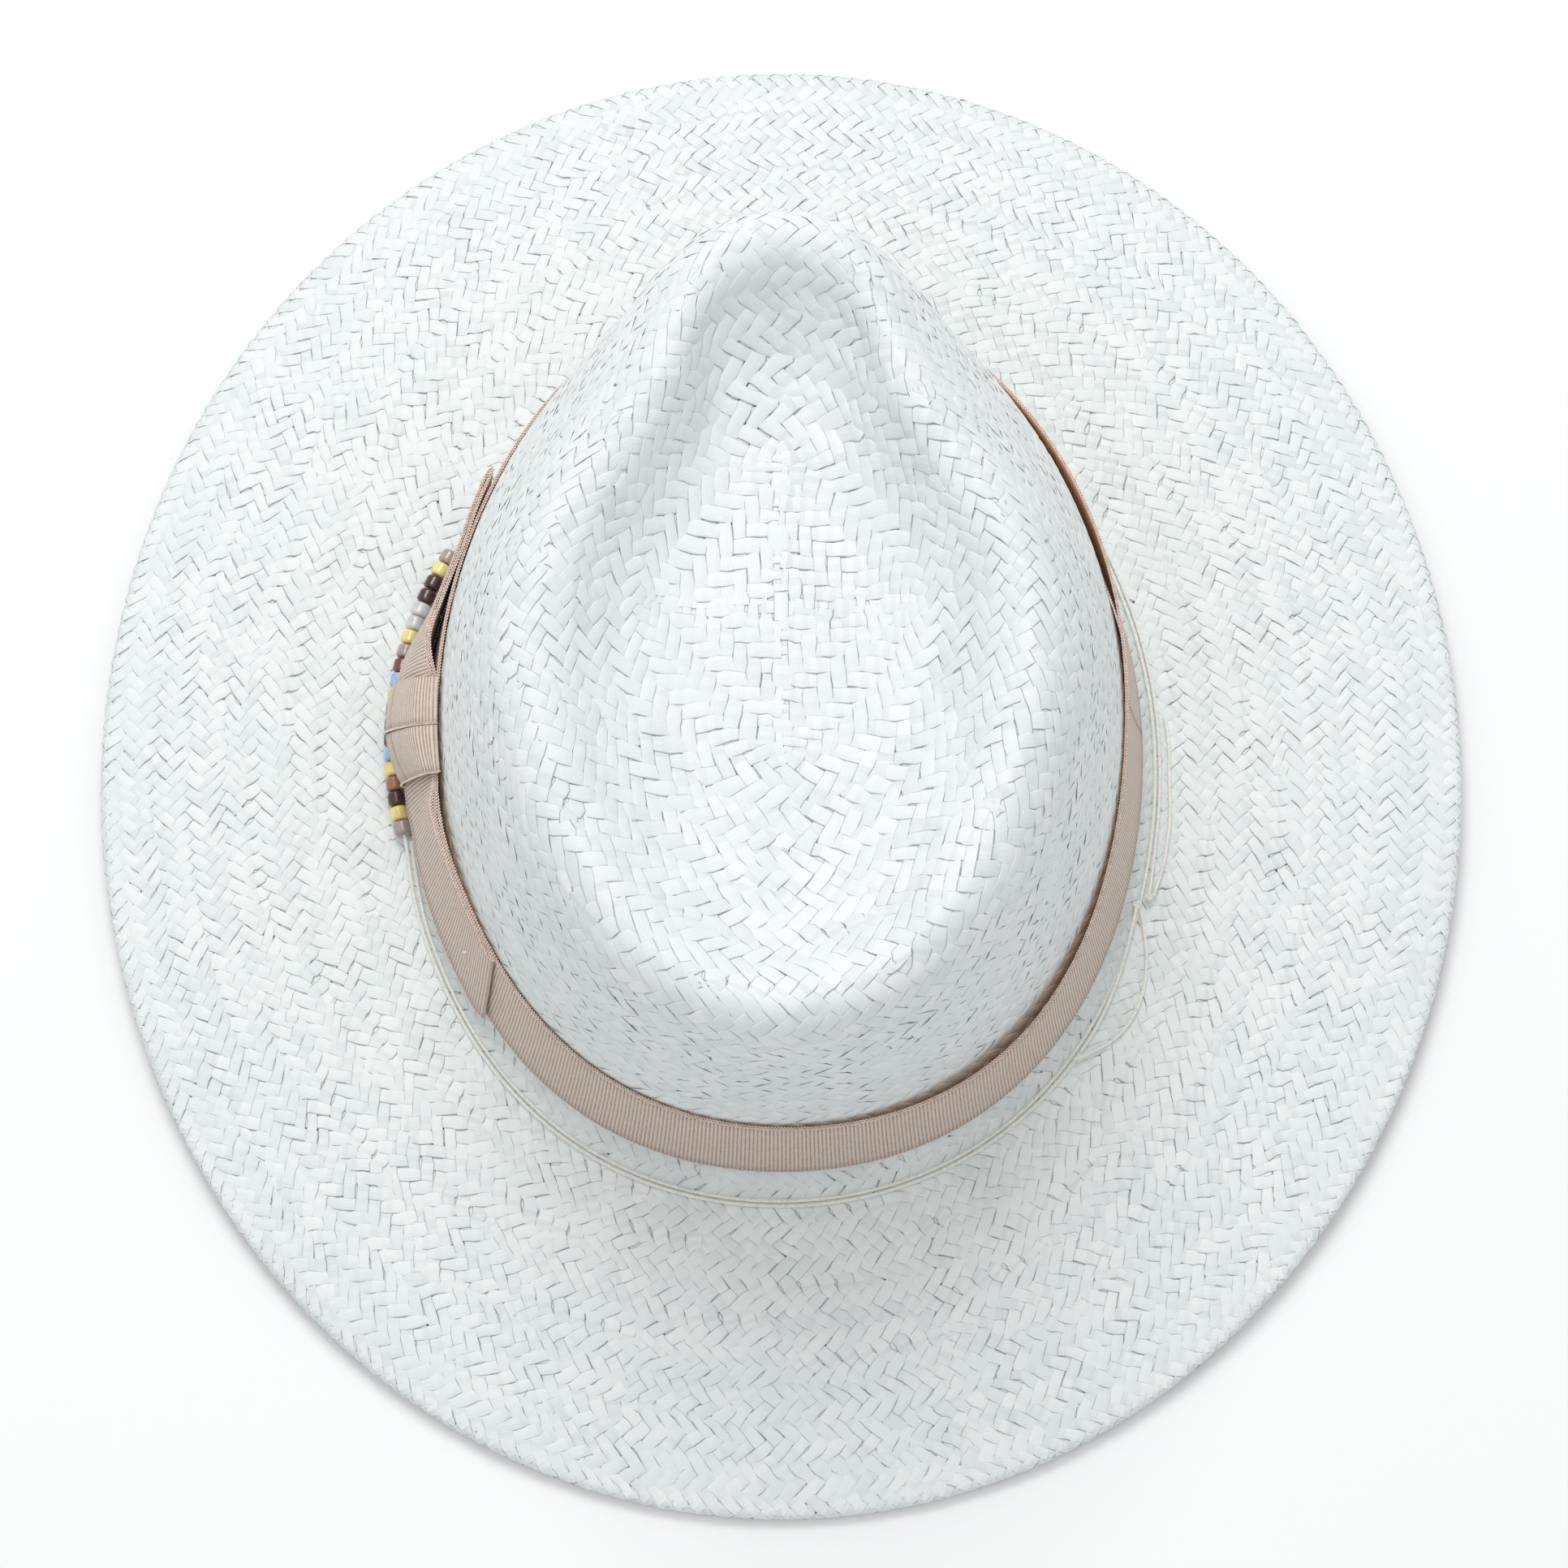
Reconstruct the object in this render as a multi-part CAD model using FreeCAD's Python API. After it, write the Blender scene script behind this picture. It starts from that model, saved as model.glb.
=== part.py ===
"""Wide-brim woven paper-straw hat with a teardrop crown, a ribbon band with a flat side bow, and a bead string.

Millimetres. +Z is up, +Y is the wearer's front, -X is the wearer's left, where the bow and the beads are.
The hat stands on its brim: the lowest point of the turned-under hem is z = 0. Every sub-part is written to
parts/NAME.step. Angles around the crown run from +X (0) through the front, +Y (90).
"""

import FreeCAD, Part
import math
import os

V = FreeCAD.Vector

# Straw body
STRAW = 1.8                # thickness of the woven straw
Z_CUT = 15.0               # height at which the crown wall ends and the brim's curved root begins
ROOT_RADIUS = 6.0          # outside radius of the curve between crown wall and brim
ROOT_START = 10.0          # lean of the crown wall, in degrees, where the curve begins
FULLNESS = 0.035           # how much fuller than an ellipse the head oval is, half-way round each quarter
HEAD_HALF_WIDTH = 83.1     # head oval, outside the straw, at Z_CUT
HEAD_HALF_LENGTH = 103.0
HEAD_FORWARD = 1.7         # how far the head oval's middle is in front of the brim's
BRIM_HALF_WIDTH = 158.4
BRIM_HALF_LENGTH = 177.2
BRIM_SIDE_LIFT = 3.5       # how much higher the edge is at the two sides
BRIM_DROP_POWER = 1.5      # above 1 the brim leaves the crown flat and drops towards its edge

# Pinch of the crown near the front: a dip in half-width, placed by the sine of the angle around the crown
PINCH_PLACE = 0.68
PINCH_SPREAD = 0.40

# Crown sections from the cut up the wall, over the ridge and down into the teardrop dent:
# height at the back, height at the front, half-width, front y, back y, pinch, fullness
# y is from the middle of the head oval
CROWN_SECTIONS = [
    (Z_CUT, Z_CUT, HEAD_HALF_WIDTH, HEAD_HALF_LENGTH, -HEAD_HALF_LENGTH, 0.055, FULLNESS),
    (29.0, 29.0, 79.7, 100.5, -100.7, 0.058, FULLNESS),
    (43.0, 43.0, 76.2, 98.0, -98.6, 0.062, FULLNESS),
    (61.0, 64.0, 72.8, 95.0, -97.8, 0.09, 0.028),
    (80.0, 87.0, 69.0, 91.5, -97.4, 0.17, 0.018),
    (95.0, 105.5, 65.4, 88.2, -97.0, 0.25, 0.010),
    (104.0, 116.5, 62.2, 85.2, -96.2, 0.31, 0.005),
    (109.6, 123.0, 58.4, 81.8, -93.8, 0.35, 0.0),
    (112.0, 126.0, 53.4, 77.2, -89.4, 0.37, 0.0),
    (110.8, 124.3, 47.8, 72.0, -84.2, 0.37, 0.0),
    (106.4, 116.5, 40.8, 65.2, -76.6, 0.35, 0.0),
    (102.4, 108.0, 32.0, 54.5, -64.5, 0.29, 0.0),
    (100.9, 103.6, 22.0, 39.0, -48.0, 0.20, 0.0),
    (101.1, 102.4, 13.0, 23.5, -32.0, 0.11, 0.0),
    (101.5, 102.0, 6.5, 11.0, -19.0, 0.05, 0.0),
    (101.8, 101.8, 2.5, 3.2, -11.0, 0.0, 0.0),
]
WALL_SECTIONS = 6          # the first sections, which the band and the sweatband lie against
FLAT_SECTIONS = 4          # the last sections, on the dent's nearly level floor

# Hem: the brim's edge turned under and stitched
HEM_WIDTH = 9.0
HEM_THICKNESS = 1.4
HEM_GAP = 0.05
BRIM_EDGE_Z = STRAW + HEM_GAP + HEM_THICKNESS    # top of the brim's edge at the front and the back
HEM_STITCHES = 120
STITCH_RADIUS = 0.3
HEM_STITCH_LENGTH = 4.5

# Sweatband inside the crown
SWEAT_THICKNESS = 1.0
SWEAT_GAP = 0.4
SWEAT_BOTTOM = 16.0
SWEAT_TOP = 44.0
SWEAT_LAP_HALF_WIDTH = 9.0
SWEAT_STITCHES = 84
SWEAT_STITCH_LENGTH = 3.0

# Ribbon band and bow
RIBBON = 0.5               # thickness of the grosgrain ribbon
BAND_BOTTOM = 17.0
BAND_TOP = 42.0
BAND_GAP_BOTTOM = 0.5
BAND_GAP_TOP = 0.9
BAND_GAPE = 2.6            # how far the band's top edge stands off at the loosest places
BOW_GAP = 0.25             # between the bow's layers
TACK_SLACK = 0.2           # how much shorter a tack is than the space between band and loop
WRAP_THICKNESS = 0.7       # the short lengths of ribbon wrapped round the bow's waist
WRAP_WIDTH = 11.4
WRAP_MIDDLE = -4.0         # where the waist stands out most
WRAP_TAPER = (2.0, 3.2)    # how much less it stands out at its front and its rear edge
WRAP_BACK_DEPTH = 1.4      # from the back of a wrap to where it is tallest
WRAP_REACH = 1.25          # how much further in than its back the top of a wrap reaches, over the band
WRAP_LEAN = 6.0            # the wraps lean back by this much over the ribbon's width
WRAP_BULGE = 8.9           # how far the waist stands out from the crown
WRAP_LOW_BULGE = 0.3       # share by which the waist is fuller at its bottom and leaner at its top
WRAP_BOTTOM = 15.9
WRAP_TOP = 45.0
LOOP_THICKNESS = 2.2       # a loop is the ribbon folded double over itself
LOOP_ROOT_THICKNESS = 1.4  # pressed flat where it enters the waist
LOOP_BOTTOM = 17.4
LOOP_TOP = 42.6
LOOP_PINCH = 7.0           # how much lower its top and higher its bottom are where it enters the waist
LOOP_FLARE = 0.3           # how much further out it is there
FRONT_LOOP_END = 55.0      # the bow's places along the wearer's left side, as y from the middle of the head oval
FRONT_LOOP_ROOT = 0.8
REAR_LOOP_ROOT = -7.5
REAR_LOOP_END = -63.5
FRONT_WRAP = 1.9
REAR_WRAP = -9.9

# Bead string: a round cord laid around the foot of the crown, tied on the wearer's right
CORD_RADIUS = 0.4
BEAD_COUNT = 20
BEAD_RADIUS = 2.1
BEAD_BORE = CORD_RADIUS + 0.1
BEAD_LENGTH = 3.36
BEAD_ROUNDING = 0.85
BEAD_ARC_CENTRE = (-3.3, 1.7)
BEAD_ARC_RADIUS = 86.6
BEAD_ARC_START = 149.4     # angle of the first bead, at the front
BEAD_ARC_END = 194.5       # angle of the last bead, at the back
BEAD_Z_FRONT = 14.1        # the front beads ride up the curve at the foot of the crown
BEAD_Z_BACK = 12.6
CORD_OUT = 5.0             # how far outside the head oval the cord lies at the sides
CORD_OUT_BACK = 2.2        # how much further out it lies at the back
CORD_OUT_BEADS = 1.8       # how much further out it lies behind the last bead
CORD_CLEAR = 0.3           # between the cord and the straw
STRAND_SPACING = 1.2       # between the two strands' middles
KNOT_RADIUS = 1.15
KNOT_INNER = V(81.3, -38.6, 12.25)
KNOT_OUTER = V(84.1, -36.6, 11.7)
TAIL_FORWARD = [
    KNOT_OUTER + V(1.05, 0.3, -0.1),
    V(87.3, -30.6, 11.3),
    V(88.9, -23.0, 10.9),
    V(89.8, -14.9, 10.8),
    V(89.6, -6.8, 10.8),
    V(90.0, 1.2, 10.8),
    V(89.0, 7.4, 10.8),
]
TAIL_BACK = [
    KNOT_INNER + V(0.85, -0.8, 0.05),
    V(83.0, -45.2, 11.5),
    V(83.4, -52.6, 11.0),
    V(82.0, -60.4, 10.8),
    V(78.4, -67.2, 10.7),
    V(72.8, -72.0, 10.7),
    V(66.0, -74.9, 12.3),
]

ROUND_STEPS = 72           # points on each closed section curve
BRIM_STEPS = 10            # rows across the brim, each wider than the one inside it
BRIM_STEP_GROWTH = 1.18
WRAP_STEPS = 48


def angles(steps=ROUND_STEPS):
    return [2.0 * math.pi * i / steps for i in range(steps)]


def section_point(section, angle):
    """A point on one crown section."""
    z_back, z_front, half_width, front, back, pinch, fullness = section
    s, c = math.sin(angle), math.cos(angle)
    full = 1.0 + fullness * math.sin(2.0 * angle) ** 2
    narrow = 1.0 - pinch * math.exp(-(((s - PINCH_PLACE) / PINCH_SPREAD) ** 2))
    middle, half_length = 0.5 * (front + back), 0.5 * (front - back)
    z = z_back + (z_front - z_back) * 0.5 * (1.0 + s)
    return V(half_width * c * full * narrow, HEAD_FORWARD + middle + half_length * s * full, z)


def wall_section(z):
    """The crown section at a height on the wall, between the two nearest given sections."""
    wall = CROWN_SECTIONS[:WALL_SECTIONS]
    lower = max(i for i in range(len(wall) - 1) if wall[i][0] <= z or i == 0)
    low, high = wall[lower], wall[lower + 1]
    t = (z - low[0]) / (high[0] - low[0])
    mixed = [a + (b - a) * t for a, b in zip(low, high)]
    return (z, z, *mixed[2:])


def outward(curve, angle):
    """The level outward normal of a closed curve given as a function of the angle."""
    step = 1e-3
    along = curve(angle + step) - curve(angle - step)
    normal = V(along.y, -along.x, 0.0)
    return normal.normalize()


def wall_point(angle, z, gap):
    """A point beside the crown wall: gap is measured outward from the straw's outer face."""
    section = wall_section(z)
    return section_point(section, angle) + outward(lambda a: section_point(section, a), angle) * gap


def closed_curve(points):
    """A smooth closed wire through the points."""
    curve = Part.BSplineCurve()
    curve.interpolate(Points=points, PeriodicFlag=True)
    return Part.Wire([curve.toShape()])


def crown_grid():
    return [[section_point(section, a) for a in angles()] for section in CROWN_SECTIONS]


def offset_grid(grid, distance):
    """The grid moved inward along its own normals, with the first row kept level and the flat middle moved down."""
    rows, columns = len(grid), len(grid[0])
    moved = []
    for i, row in enumerate(grid):
        above, below = grid[min(i + 1, rows - 1)], grid[max(i - 1, 0)]
        new_row = []
        for j, point in enumerate(row):
            around = row[(j + 1) % columns] - row[j - 1]
            up = above[j] - below[j]
            normal = around.cross(up).normalize()
            new_row.append(point - normal * distance)
        moved.append(new_row)
    for i in range(rows - FLAT_SECTIONS, rows):
        moved[i] = [point - V(0.0, 0.0, distance) for point in grid[i]]
    level = sum(p.z for p in moved[0]) / columns
    moved[0] = [V(p.x, p.y, level) for p in moved[0]]
    return moved


def surface_through(grid):
    """A smooth surface through a grid of points, given row by row."""
    surface = Part.BSplineSurface()
    surface.interpolate(grid)
    return surface


def row_edge(surface, last):
    """The edge along a surface's first or last row."""
    low, high = surface.bounds()[:2]
    return surface.uIso(high if last else low).toShape()


def column_edge(surface, last):
    low, high = surface.bounds()[2:]
    return surface.vIso(high if last else low).toShape()


def closed_rows(grid):
    """The grid with its first column repeated at the end, so that it goes all the way round."""
    return [[*row, row[0]] for row in grid]


def solid_from(faces):
    shell = Part.makeShell(faces)
    shell.sewShape()
    solid = Part.makeSolid(shell)
    if solid.Volume < 0:
        solid.reverse()
    return solid


def ring_between(face_rows, back_rows):
    """A closed ring-shaped sheet between two grids that go all the way round."""
    face, back = surface_through(closed_rows(face_rows)), surface_through(closed_rows(back_rows))
    ends = [Part.makeRuledSurface(row_edge(face, last), row_edge(back, last)) for last in (False, True)]
    return solid_from([face.toShape(), back.toShape(), *ends])


def plate_between(face_rows, back_rows):
    """A sheet with four edges between two grids."""
    face, back = surface_through(face_rows), surface_through(back_rows)
    ends = [
        Part.makeRuledSurface(edge(face, last), edge(back, last))
        for edge in (row_edge, column_edge)
        for last in (False, True)
    ]
    return solid_from([face.toShape(), back.toShape(), *ends])


def make_crown():
    outer_rows = crown_grid()
    outer = surface_through(closed_rows(outer_rows))
    inner = surface_through(closed_rows(offset_grid(outer_rows, STRAW)))
    foot = Part.makeRuledSurface(row_edge(outer, False), row_edge(inner, False))
    caps = [Part.Face(Part.Wire([row_edge(surface, True)])) for surface in (outer, inner)]
    return solid_from([outer.toShape(), inner.toShape(), foot, *caps])


def brim_edge_z(angle):
    return BRIM_EDGE_Z + BRIM_SIDE_LIFT * math.cos(angle) ** 2


def head_point(angle, out, z):
    """A point outside the head oval by a distance, at a height."""
    flat = section_point(CROWN_SECTIONS[0], angle)
    place = flat + outward(lambda a: section_point(CROWN_SECTIONS[0], a), angle) * out
    return V(place.x, place.y, z)


ROOT_OUT = ROOT_RADIUS * math.cos(math.radians(ROOT_START))
ROOT_CENTRE_Z = Z_CUT + ROOT_RADIUS * math.sin(math.radians(ROOT_START))
BRIM_TOP_Z = ROOT_CENTRE_Z - ROOT_RADIUS


def brim_point(angle, t, below=0.0):
    """A point on the flat part of the brim's top: t runs from the root, 0, to the edge, 1."""
    start = head_point(angle, ROOT_OUT, BRIM_TOP_Z)
    end = V(BRIM_HALF_WIDTH * math.cos(angle), BRIM_HALF_LENGTH * math.sin(angle), 0.0)
    z = BRIM_TOP_Z + (brim_edge_z(angle) - BRIM_TOP_Z) * t**BRIM_DROP_POWER
    return V(start.x + (end.x - start.x) * t, start.y + (end.y - start.y) * t, z - below)


def root_point(angle, turn, below=0.0):
    """A point on the curved root: turn runs from ROOT_START to 90 degrees."""
    radius = ROOT_RADIUS + below
    phi = math.radians(turn)
    return head_point(
        angle, ROOT_OUT - radius * math.cos(phi), ROOT_CENTRE_Z - radius * math.sin(phi)
    )


def brim_rows(below):
    """The rows of one face of the brim, from the level cut ring to the edge, with steps that grow evenly."""
    first = [head_point(a, -below / math.cos(math.radians(ROOT_START)), Z_CUT) for a in angles()]
    root = [[root_point(a, turn, below) for a in angles()] for turn in (36.0, 63.0, 90.0)]
    places = [(BRIM_STEP_GROWTH**k - 1.0) / (BRIM_STEP_GROWTH**BRIM_STEPS - 1.0) for k in range(1, BRIM_STEPS + 1)]
    flat = [[brim_point(a, t, below) for a in angles()] for t in places]
    return [first, *root, *flat]


def make_brim():
    return ring_between(brim_rows(0.0), brim_rows(STRAW))


def hem_t(angle, width):
    """The brim parameter at a distance inward from the edge."""
    start, end = brim_point(angle, 0.0), brim_point(angle, 1.0)
    flat = math.hypot(end.x - start.x, end.y - start.y)
    return 1.0 - width / flat


def make_brim_hem():
    top = STRAW + HEM_GAP
    widths = [HEM_WIDTH * (1.0 - k / 3.0) for k in range(4)]
    rows = [
        [[brim_point(a, hem_t(a, width), below) for a in angles()] for width in widths]
        for below in (top, top + HEM_THICKNESS)
    ]
    return ring_between(*rows)


def stitch(middle, along, length):
    along = V(along).normalize()
    return Part.makeCylinder(STITCH_RADIUS, length, middle - along * (0.5 * length), along)


def make_hem_stitches():
    """Stitches on the underside, along the inner edge of the turned-under hem."""
    below = STRAW + HEM_GAP + HEM_THICKNESS + STITCH_RADIUS + 0.05

    def seam(a):
        return brim_point(a, hem_t(a, HEM_WIDTH - 2.0), below)

    solids = []
    for a in angles(HEM_STITCHES):
        solids.append(stitch(seam(a), seam(a + 0.01) - seam(a - 0.01), HEM_STITCH_LENGTH))
    return Part.makeCompound(solids)


def wall_ring(z_low, z_high, gap_low, gap_high, thickness, extra=lambda a: 0.0):
    """A closed strip around the wall. Gaps run from the straw to the strip's inner face; extra widens the top one."""
    def face(more):
        low = closed_curve([wall_point(a, z_low, gap_low + more) for a in angles()])
        high = closed_curve([wall_point(a, z_high, gap_high + more + extra(a)) for a in angles()])
        return Part.makeLoft([low, high], True, True)

    return face(thickness).cut(face(0.0))


def bump(angle, middle, spread):
    """A smooth rise of height 1 about an angle, both in degrees."""
    away = (math.degrees(angle) - middle + 180.0) % 360.0 - 180.0
    return math.exp(-((away / spread) ** 2))


def band_gape(angle):
    """How far the band's top edge stands off the crown, beyond its usual gap."""
    return BAND_GAPE * max(bump(angle, 310.0, 26.0), 0.8 * bump(angle, 28.0, 22.0))


def make_ribbon_band():
    return wall_ring(BAND_BOTTOM, BAND_TOP, BAND_GAP_BOTTOM, BAND_GAP_TOP, RIBBON, band_gape)


def make_sweatband():
    gap = -(STRAW + SWEAT_GAP + SWEAT_THICKNESS)
    return wall_ring(SWEAT_BOTTOM, SWEAT_TOP, gap, gap - 0.2, SWEAT_THICKNESS)


def wall_rows(stations, steps=4):
    """Upright rows of points along the wall. Each station is an angle, its bottom and top height, and its gap."""
    return [
        [wall_point(angle, low + (high - low) * k / (steps - 1), gap) for k in range(steps)]
        for angle, low, high, gap in stations
    ]


def make_sweatband_lap():
    """The short piece that covers the sweatband's joint at the back."""
    half = math.asin(SWEAT_LAP_HALF_WIDTH / HEAD_HALF_WIDTH)
    gap = -(STRAW + SWEAT_GAP + 2.0 * SWEAT_THICKNESS + 0.5)
    faces = [
        wall_rows([
            (1.5 * math.pi + half * k, SWEAT_BOTTOM + 1.0, SWEAT_TOP - 1.0, gap + extra)
            for k in (-1.0, -0.5, 0.0, 0.5, 1.0)
        ])
        for extra in (0.8 * SWEAT_THICKNESS, 0.0)
    ]
    return plate_between(*faces)


def make_sweatband_stitches():
    """The row of stitches along the sweatband's lower edge."""
    inside = -(STRAW + SWEAT_GAP + SWEAT_THICKNESS + STITCH_RADIUS + 0.05)
    z = SWEAT_BOTTOM + 2.5
    solids = []
    for a in angles(SWEAT_STITCHES):
        if bump(a, 270.0, 9.0) > 0.3:
            continue
        middle = wall_point(a, z, inside)
        along = wall_point(a + 0.01, z, inside) - wall_point(a - 0.01, z, inside)
        solids.append(stitch(middle, along, SWEAT_STITCH_LENGTH))
    return Part.makeCompound(solids)


WRAP_BACK = BAND_GAP_TOP + RIBBON + BOW_GAP              # where the bow's first layer lies
LOOP_FLOOR = WRAP_BACK + WRAP_THICKNESS + BOW_GAP


def side_angle(y):
    """The angle around the wearer's left side at which the head oval reaches a given y."""
    return math.pi - math.asin(y / HEAD_HALF_LENGTH)


def make_bow_loop(root, end, steps=8):
    """A flat folded loop. It narrows and gets thinner towards the waist, where it also stands out further."""
    inner, outer = [], []
    for i in range(steps):
        t = i / (steps - 1)
        near = max(0.0, 1.0 - 2.2 * max(0.0, t - 0.2)) ** 2
        pinch = LOOP_PINCH * near
        gap = LOOP_FLOOR + LOOP_FLARE * near
        thickness = LOOP_THICKNESS + (LOOP_ROOT_THICKNESS - LOOP_THICKNESS) * near
        place = (side_angle(root + (end - root) * t), LOOP_BOTTOM + pinch, LOOP_TOP - pinch)
        inner.append((*place, gap))
        outer.append((*place, gap + thickness))
    return plate_between(wall_rows(outer), wall_rows(inner))


def wrap_bulge(y):
    """How far the waist stands out at a place along the side."""
    away = (y - WRAP_MIDDLE) / WRAP_WIDTH
    return WRAP_BULGE - WRAP_TAPER[0 if away > 0.0 else 1] * away * away


def wrap_outline(bulge, inset):
    """The outline of the sleeve round the bow's waist, as evenly spaced pairs of gap and height."""
    middle_gap, middle_z = WRAP_BACK + WRAP_BACK_DEPTH, 0.5 * (WRAP_TOP + WRAP_BOTTOM)
    half_height = middle_z - WRAP_BOTTOM - inset
    fine = []
    for turn in angles(WRAP_STEPS * 20):
        across, up = math.cos(turn), math.sin(turn)
        if across > 0.0:
            depth = (bulge - middle_gap - inset) * (1.0 - WRAP_LOW_BULGE * up)
        else:
            depth = WRAP_BACK_DEPTH - inset
        z = middle_z + half_height * up
        over = min(1.0, max(0.0, (z - BAND_TOP - 0.3) / 1.6))
        fine.append((middle_gap + depth * across - WRAP_REACH * over * over * (3.0 - 2.0 * over), z))
    reached = [0.0]
    for i, point in enumerate(fine):
        reached.append(reached[-1] + math.dist(point, fine[(i + 1) % len(fine)]))
    wanted = [reached[-1] * k / WRAP_STEPS for k in range(WRAP_STEPS)]
    return [next(p for p, d in zip(fine, reached) if d >= w) for w in wanted]


def make_bow_wrap(middle):
    """A short length of ribbon wrapped round the bow's waist, leaning back towards its top."""
    def grid(inset):
        rows = []
        for k in (0.5, 0.17, -0.17, -0.5):
            row = []
            for gap, z in wrap_outline(wrap_bulge(middle + WRAP_WIDTH * k), inset):
                lean = WRAP_LEAN * (0.5 - (z - WRAP_BOTTOM) / (WRAP_TOP - WRAP_BOTTOM))
                row.append(wall_point(side_angle(middle + WRAP_WIDTH * k + lean), z, gap))
            rows.append(row)
        return rows

    return ring_between(grid(0.0), grid(WRAP_THICKNESS))


def make_bow_tacks():
    """Short stitches that hold the two loops to the band."""
    solids = []
    for y in (48.0, 24.0, -30.0, -55.0):
        angle = side_angle(y)
        z = 0.5 * (LOOP_BOTTOM + LOOP_TOP)
        inner = wall_point(angle, z, BAND_GAP_TOP + RIBBON + 0.02)
        along = outward(lambda a: wall_point(a, z, 0.0), angle)
        solids.append(Part.makeCylinder(STITCH_RADIUS, LOOP_FLOOR - BAND_GAP_TOP - RIBBON - TACK_SLACK, inner, along))
    return Part.makeCompound(solids)


def bead_point(turn):
    """A place on the bead arc: turn is its angle in degrees about the arc's own centre."""
    t = (turn - BEAD_ARC_START) / (BEAD_ARC_END - BEAD_ARC_START)
    ease = min(1.0, max(0.0, t))
    z = BEAD_Z_FRONT + (BEAD_Z_BACK - BEAD_Z_FRONT) * ease
    phi = math.radians(turn)
    x, y = BEAD_ARC_CENTRE
    return V(x + BEAD_ARC_RADIUS * math.cos(phi), y + BEAD_ARC_RADIUS * math.sin(phi), z)


BEAD_STEP = (BEAD_ARC_END - BEAD_ARC_START) / (BEAD_COUNT - 1)


def bead_places():
    """The middle and the axis of each bead, front to back."""
    places = []
    for i in range(BEAD_COUNT):
        turn = BEAD_ARC_START + BEAD_STEP * i
        before, after = bead_point(turn - 0.5 * BEAD_STEP), bead_point(turn + 0.5 * BEAD_STEP)
        places.append(((before + after) * 0.5, (after - before).normalize()))
    return places


def make_bead(middle, axis):
    """A rocaille: a short barrel with rounded rims and a bore."""
    length = V(0.0, 0.0, BEAD_LENGTH)
    start = V(0.0, 0.0, -0.5 * BEAD_LENGTH)
    barrel = Part.makeCylinder(BEAD_RADIUS, BEAD_LENGTH, start, length)
    barrel = barrel.makeFillet(BEAD_ROUNDING, [e for e in barrel.Edges if e.Closed])
    bead = barrel.cut(Part.makeCylinder(BEAD_BORE, BEAD_LENGTH, start, length))
    bead.Placement = FreeCAD.Placement(middle, FreeCAD.Rotation(V(0, 0, 1), axis))
    return bead


def rounded_path(points):
    """Straight runs joined by the largest tangent arcs that the runs allow."""
    edges = []
    tightest = math.inf
    reached = points[0]
    for before, corner, after in zip(points, points[1:], points[2:]):
        back, ahead = before - corner, after - corner
        reach = 0.45 * min(back.Length, ahead.Length)
        back.normalize()
        ahead.normalize()
        start, end = corner + back * reach, corner + ahead * reach
        half_turn = 0.5 * (math.pi - back.getAngle(ahead))
        radius = reach / math.tan(half_turn)
        towards = (back + ahead).normalize()
        middle = corner + towards * (radius / math.cos(half_turn) - radius)
        edges.append(Part.LineSegment(reached, start).toShape())
        edges.append(Part.Arc(start, middle, end).toShape())
        tightest = min(tightest, radius)
        reached = end
    edges.append(Part.LineSegment(reached, points[-1]).toShape())
    return Part.Wire(edges), tightest


def tube(name, points):
    """A cord of constant thickness along the points."""
    path, tightest = rounded_path(points)
    first = path.Edges[0]
    start = first.valueAt(first.FirstParameter)
    along = first.tangentAt(first.FirstParameter)
    ring = Part.Wire([Part.makeCircle(CORD_RADIUS, start, along)])
    solid = path.makePipeShell([ring], True, True)
    wanted = math.pi * CORD_RADIUS**2 * path.Length
    print(f"{name}: length {path.Length:.1f} mm, smallest arc {tightest:.1f} mm, volume ratio {solid.Volume / wanted:.4f}")
    return solid


def foot_height(angle, out):
    """The height of a cord's middle when it lies on the straw at a distance outside the head oval."""
    clear = CORD_RADIUS + CORD_CLEAR
    if out < ROOT_OUT:
        return ROOT_CENTRE_Z - math.sqrt((ROOT_RADIUS - clear) ** 2 - (ROOT_OUT - out) ** 2)
    start, edge = brim_point(angle, 0.0), brim_point(angle, 1.0)
    t = (out - ROOT_OUT) / math.hypot(edge.x - start.x, edge.y - start.y)
    return brim_point(angle, t).z + clear


def around_foot(first, last, steps, inward=0.0):
    """Points around the foot of the crown between two angles in degrees, both included."""
    points = []
    for i in range(steps):
        angle = math.radians(first + (last - first) * i / (steps - 1))
        out = CORD_OUT + CORD_OUT_BACK * bump(angle, 265.0, 50.0) + CORD_OUT_BEADS * bump(angle, 190.0, 11.0) - inward
        points.append(head_point(angle, out, foot_height(angle, out)))
    return points


def make_bead_cord():
    """The main strand: from the knot ahead around the front, through every bead, and around the back to the knot."""
    through_beads = [
        bead_point(BEAD_ARC_START + BEAD_STEP * (i - 1.0)) for i in range(BEAD_COUNT + 2)
    ]
    ahead = around_foot(347.0, 497.0, 18)
    climb = [
        head_point(math.radians(turn), out, z) for turn, out, z in ((142.0, 4.6, 11.5), (147.5, 3.9, 12.9))
    ]
    behind = around_foot(202.0, 321.0, 15)
    over_second = [
        head_point(math.radians(turn), out, z)
        for turn, out, z in ((326.0, 5.0, 11.6), (331.0, 4.3, 12.2), (335.0, 3.6, 12.5))
    ]
    return tube("bead_cord", [KNOT_OUTER, *ahead, *climb, *through_beads, *behind, *over_second, KNOT_INNER])


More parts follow.
